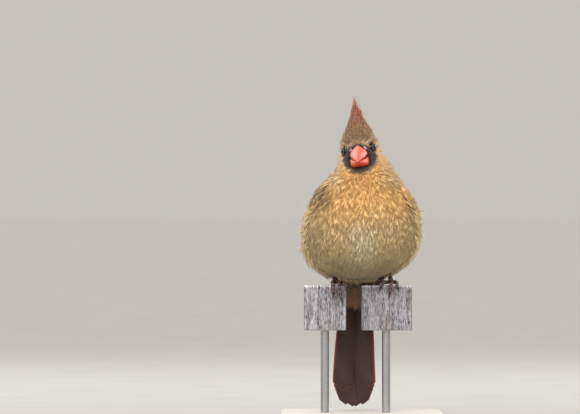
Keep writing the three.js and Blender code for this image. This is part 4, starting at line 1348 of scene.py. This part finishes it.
def makeEyes(eyeGloss, lidSkin):
    for name, (centre, radius, look) in zip(("eye_left", "eye_right"), eyePlaces()):
        work = bmesh.new()
        bmesh.ops.create_icosphere(work, subdivisions=5, radius=radius * mm)
        rings = work.verts.layers.float_color.new("coat")
        for vert in work.verts:
            facing = vert.co.normalized().dot(look)
            iris = smoothStep(0.905, 0.895, facing) * smoothStep(0.66, 0.7, facing)
            vert[rings] = (0.004 + 0.035 * iris, 0.003 + 0.013 * iris, 0.003 + 0.007 * iris, 1)
            # The cornea bulges a little out of the ball where the eye looks out.
            bulge = smoothStep(0.8, 1.0, vert.co.normalized().dot(look))
            vert.co += vert.co.normalized() * eyePlan["bulge"] * mm * bulge
            vert.co += inRow(centre)
        linkWork(f"{name}_ball", work, eyeGloss, [name])
        upright = headTurn @ Vector((0, 0, 1))
        upright = (upright - look * upright.dot(look)).normalized()
        across = upright.cross(look)

        def lidSurface(u, v):
            turn = 2 * math.pi * v
            rim = (across * math.cos(turn) * eyePlan["lidAcross"]
                   + upright * math.sin(turn) * eyePlan["lidUp"])
            seat = centre + look * math.sqrt(max(0.1, (radius + 0.12) ** 2 - rim.length ** 2)) + rim
            roll = 2 * math.pi * u
            return seat + (rim.normalized() * math.cos(roll) + look * math.sin(roll)) * eyePlan["lidRoll"]
        work = bmesh.new()
        addGrid(work, lidSurface, 12, 48, lambda u, v: (0.09, 0.075, 0.07))
        linkWork(f"{name}_lid", work, lidSkin)
    print("eyes")


# Feet

footPlan = {
    "left": {"shin": (15.2, -1, 10), "ankle": (18.4, -4.6, 3.4),
             "inner": (13.4, 11.6, 10.6, -1.2, -4.8), "middle": (18.3, 17.2, 16, -4.4, -9.4),
             "outer": (21.2, 21.9, 22.9, -1.4, -5.4), "hind": (18.2, 18.2, 18.6, -2, -8)},
    "right": {"shin": (-16.3, -1, 10), "ankle": (-16.9, -4.6, 3.6),
              "inner": (-12.6, -9.2, -6.8, -1.4, -5.4), "middle": (-15.2, -13, -11.6, -7.8, -12.6),
              "outer": (-18.6, -17.8, -18.2, -4.6, -9), "hind": (-17.4, -17.6, -18, -2, -8)},
}
toeSize = {"radius": 1.25, "lie": 1.55, "scute": 1.15}


def limbSurface(path, radiusAt, outwardAt, scutes):
    # A round limb whose upper side carries overlapping scutes, each rising to its far edge.
    curve = curveThrough(path)

    def surface(u, v):
        place, ahead = curve(v)
        out = outwardAt(v)
        out = (out - ahead * out.dot(ahead)).normalized()
        across = ahead.cross(out)
        turn = 2 * math.pi * u
        upper = max(0.0, math.cos(turn)) ** 0.6
        scute = (v * scutes) % 1.0
        plate = 0.17 * upper * (scute ** 1.5) * (1 if 0.02 < v < 0.97 else 0)
        end = math.sqrt(max(0.0, 1 - max(0.0, (v - 0.93) / 0.07) ** 2))
        start = math.sqrt(min(1.0, v / 0.02))
        radius = (radiusAt(v) + plate) * end * start
        return place + (out * math.cos(turn) + across * math.sin(turn)) * radius

    def tone(u, v):
        scute = (v * scutes) % 1.0
        upper = max(0.0, math.cos(2 * math.pi * u))
        # Each scute is painted paler pink towards its raised far edge on the limb's upper side, a painted
        # highlight, and darker at its joint.
        level = 0.34 + 0.4 * upper * smoothStep(0.15, 0.7, scute) - 0.25 * smoothStep(0.9, 1.0, scute)
        return (float(level),) * 3
    return surface, tone


def makeFoot(side, skinMaterial, clawHorn):
    foot = footPlan[side]
    ankle, shin = Vector(foot["ankle"]), Vector(foot["shin"])
    work = bmesh.new()
    shank = ankle.lerp(shin, 0.5) + Vector((0, 0.3, 0))
    surface, tone = limbSurface([(ankle.x, ankle.y, 1.9), shank, shin],
                                lambda t: 1.75 - 0.35 * math.sin(math.pi * min(1, t * 1.3)),
                                lambda t: Vector((0, -1, 0.2)), 5)
    addGrid(work, surface, 20, 40, tone)

    def padSurface(u, v):
        turn, rise = 2 * math.pi * u, math.pi * (v - 0.5)
        return ankle + Vector((2.1 * math.cos(rise) * math.cos(turn),
                               0.3 + 2.3 * math.cos(rise) * math.sin(turn),
                               2 - ankle.z + 1.45 * math.sin(rise)))
    addGrid(work, padSurface, 24, 16, lambda u, v: (0.42,) * 3)
    claws = {}
    for name in ("inner", "middle", "outer", "hind"):
        over, under, aside, drop, tip = foot[name]
        face = -1 if name == "hind" else 1
        edge = boardFront if face > 0 else boardBack
        out, depth = -face, toeSize["lie"]
        start = Vector((ankle.x, ankle.y, 2.1))
        bend = Vector((over, edge - out * depth * 0.35, depth + 0.1))
        corner = Vector((over + (under - over) * 0.4, edge + out * depth * 0.8, depth * 0.62))
        end = Vector((under, edge + out * depth * 1.1, drop))
        knuckle = start.lerp(bend, 0.55)
        knuckle.z = depth + 0.35

        def outwardAt(t, away=Vector((0, out, 0.25))):
            return Vector((0, 0, 1)).lerp(away, float(smoothStep(0.45, 0.9, t))).normalized()
        length = (bend - start).length + (corner - bend).length + (end - corner).length
        surface, tone = limbSurface(
            [start, knuckle, bend, corner, end],
            lambda t: toeSize["radius"] * (1 - 0.16 * t) * (0.95 + 0.07 * math.cos(t * 6 * math.pi)),
            outwardAt, max(4, round(length / toeSize["scute"])))
        addGrid(work, surface, 20, 72, tone)
        claws[name] = (Vector((under, edge + out * depth * 1.08, drop + 0.3)),
                       Vector((aside, edge + out * 0.75, tip)), out)
    linkWork(f"leg_{side}_skin", work, skinMaterial, [f"leg_{side}"])
    for name, (start, end, out) in claws.items():
        curve = curveThrough([start, start.lerp(end, 0.5) + Vector((0, out * 0.95, 0.2)), end])

        def clawSurface(u, v):
            place, ahead = curve(v)
            across = Vector((0, 1, 0)).cross(ahead).normalized()
            away = ahead.cross(across)
            turn = 2 * math.pi * u
            radius = 0.98 * math.sqrt(min(1, v / 0.03)) * (1 - v ** 1.25)
            return place + across * radius * 0.8 * math.cos(turn) + away * radius * 1.15 * math.sin(turn)
        work = bmesh.new()
        addGrid(work, clawSurface, 20, 28)
        linkWork(f"claw_{side}_{name}_horn", work, clawHorn, [f"claw_{side}_{name}"])
    print("foot", side)


# Perch and stand

boardPlan = {"grain": 1.3, "relief": 0.4, "round": 0.7}


def makeBoard(name, material):
    work, low, high = boxWork(name)
    size = high - low
    bmesh.ops.bevel(work, geom=work.edges[:], offset=boardPlan["round"] * mm, affect="EDGES", segments=3,
                    profile=0.5, material=-1)
    for axis, count in ((0, int(size.x / (0.7 * mm))), (1, int(size.y / (0.9 * mm))), (2, 9)):
        for k in range(1, count):
            point = Vector(low)
            point[axis] = low[axis] + size[axis] * k / count
            normal = Vector((0, 0, 0))
            normal[axis] = 1
            bmesh.ops.bisect_plane(work, geom=work.verts[:] + work.edges[:] + work.faces[:],
                                   plane_co=point, plane_no=normal, dist=0.01 * mm)
    bmesh.ops.recalc_face_normals(work, faces=work.faces)
    work.normal_update()
    moves = []
    for vert in work.verts:
        place = vert.co / mm
        grain = noise.fractal(Vector((place.x / boardPlan["grain"], place.y / boardPlan["grain"],
                                      place.z / 40)), 1.0, 2.0, 3)
        check = max(0.0, noise.noise(Vector((place.x / 2.6, place.y / 5, place.z / 60 + 9))) - 0.32)
        depth = boardPlan["relief"] * (0.5 - grain) * 0.5 + 1.4 * check
        moves.append(-vert.normal * max(0.0, depth) * mm)
    for vert, move in zip(work.verts, moves):
        vert.co += move
    linkWork(f"{name}_weathered", work, material, [name], smooth=False)


def makeBase(material):
    work, _, high = boxWork("stand_base")
    upright = [e for e in work.edges if abs(e.verts[0].co.z - e.verts[1].co.z) > 1 * mm]
    bmesh.ops.bevel(work, geom=upright, offset=6 * mm, affect="EDGES", segments=10, profile=0.5,
                    material=-1)
    rim = [e for e in work.edges if all(v.co.z > high.z - 0.1 * mm for v in e.verts)]
    bmesh.ops.bevel(work, geom=rim, offset=1.2 * mm, affect="EDGES", segments=4, profile=0.5, material=-1)
    bmesh.ops.recalc_face_normals(work, faces=work.faces)
    linkWork("stand_base_plate", work, material, ["stand_base"], smooth=False)


# Build

plumage = plumageMaterial("contourFeathers")
skinMaterial = plumageMaterial("featheredSkin", 0.95, 0.0)
quill = quillMaterial("flightFeathers")
skinMesh = makeSkin()
linkPiece("skin_body", skinMesh, skinMaterial, ["head", "neck", "torso"])
print("skin", len(skinMesh.polygons), "faces")
makeCoat(skinMesh, plumage)
makeCrest(skinMesh, plumage)
for side, name in ((1, "left"), (-1, "right")):
    makeWing(side, name, quill, plumage)
makeThighFeathers(quill)
makeTail(quill, plumage)
makeBill(hornMaterial("coralUpperHorn", "#DE4A30", "#F0937A", "#8E2A1C"),
         hornMaterial("redLowerHorn", "#D63C04", "#F28648", "#8E2600"), plumage)
legSkin, claw = scaleMaterial(), clawMaterial()
makeEyes(eyeMaterial(), plumage)
for side in ("left", "right"):
    makeFoot(side, legSkin, claw)
wood = weatheredWoodMaterial()
for name in ("stand_perch_left", "stand_perch_right"):
    makeBoard(name, wood)
makeBase(paintedBaseMaterial())
rodMaterial = groundRodMaterial()
for name in ("stand_rod_left", "stand_rod_right"):
    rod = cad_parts[name]
    rod.data.materials.clear()
    rod.data.materials.append(rodMaterial)
print("stand")


# Floor, light and camera

stagePlan = {
    "floorSize": 80.0,  # metres
    "pixel": 0.62,  # millimetres of the bird for each pixel of the picture
    "pictureWidth": 580,
    "distance": 3000,
    "viewAcross": -44.6,  # the picture's centre, across and over the boards
    "viewUp": 48.4,
    "sensor": 36.0,
}
floorWork = bmesh.new()
bmesh.ops.create_grid(floorWork, x_segments=8, y_segments=8, size=stagePlan["floorSize"] / 2)
floor = bpy.data.objects.new("floor", finishMesh("floor", floorWork, smooth=False))
bpy.context.scene.collection.objects.link(floor)
floor.data.materials.append(floorMaterial())


def addLight(name, kind, place, size, power, colour="#FFFFFF"):
    # Every light looks at the bird. A sun's size is how wide the soft patch of sky is, in degrees.
    light = bpy.data.lights.new(name, kind)
    if kind == "SUN":
        light.angle = math.radians(size)
    else:
        light.shape = "DISK"
        light.size = size
    light.energy = power
    light.color = hexColour(colour)
    lamp = bpy.data.objects.new(name, light)
    lamp.location = place
    lamp.rotation_euler = (Vector((0, 0, 0.13)) - Vector(place)).to_track_quat("-Z", "Y").to_euler()
    bpy.context.scene.collection.objects.link(lamp)


addLight("sky_top", "SUN", (-0.25, -0.8, 1.7), 50, 2.1, "#FFFBF4")
addLight("sky_side", "SUN", (0.9, -0.9, 1.0), 60, 0.7, "#FCFCFF")
addLight("sky_front", "SUN", (-0.5, -1.6, 0.35), 80, 1.05, "#FFFCF8")
addLight("eye_glint", "AREA", (-0.3, -1.0, 0.7), 0.16, 2.2)
addLight("rim_left", "AREA", (-0.8, 0.8, 0.6), 0.5, 5)
addLight("rim_right", "AREA", (0.8, 0.8, 0.6), 0.5, 5)
world = bpy.data.worlds.new("overcast")
bpy.context.scene.world = world
world.use_nodes = True
world.node_tree.nodes["Background"].inputs["Color"].default_value = rgba("#E7E2DB")
world.node_tree.nodes["Background"].inputs["Strength"].default_value = 0.7
bpy.context.scene.view_settings.view_transform = "Standard"

camera = bpy.data.objects.new("camera", bpy.data.cameras.new("camera"))
camera.location = Vector((stagePlan["viewAcross"], -stagePlan["distance"],
                          boardTop + stagePlan["viewUp"])) * mm
camera.rotation_euler = (math.pi / 2, 0, 0)
camera.data.sensor_width = stagePlan["sensor"]
camera.data.lens = (stagePlan["sensor"] * stagePlan["distance"]
                    / (stagePlan["pixel"] * stagePlan["pictureWidth"]))
camera.data.clip_end = 100
bpy.context.scene.collection.objects.link(camera)
bpy.context.scene.camera = camera
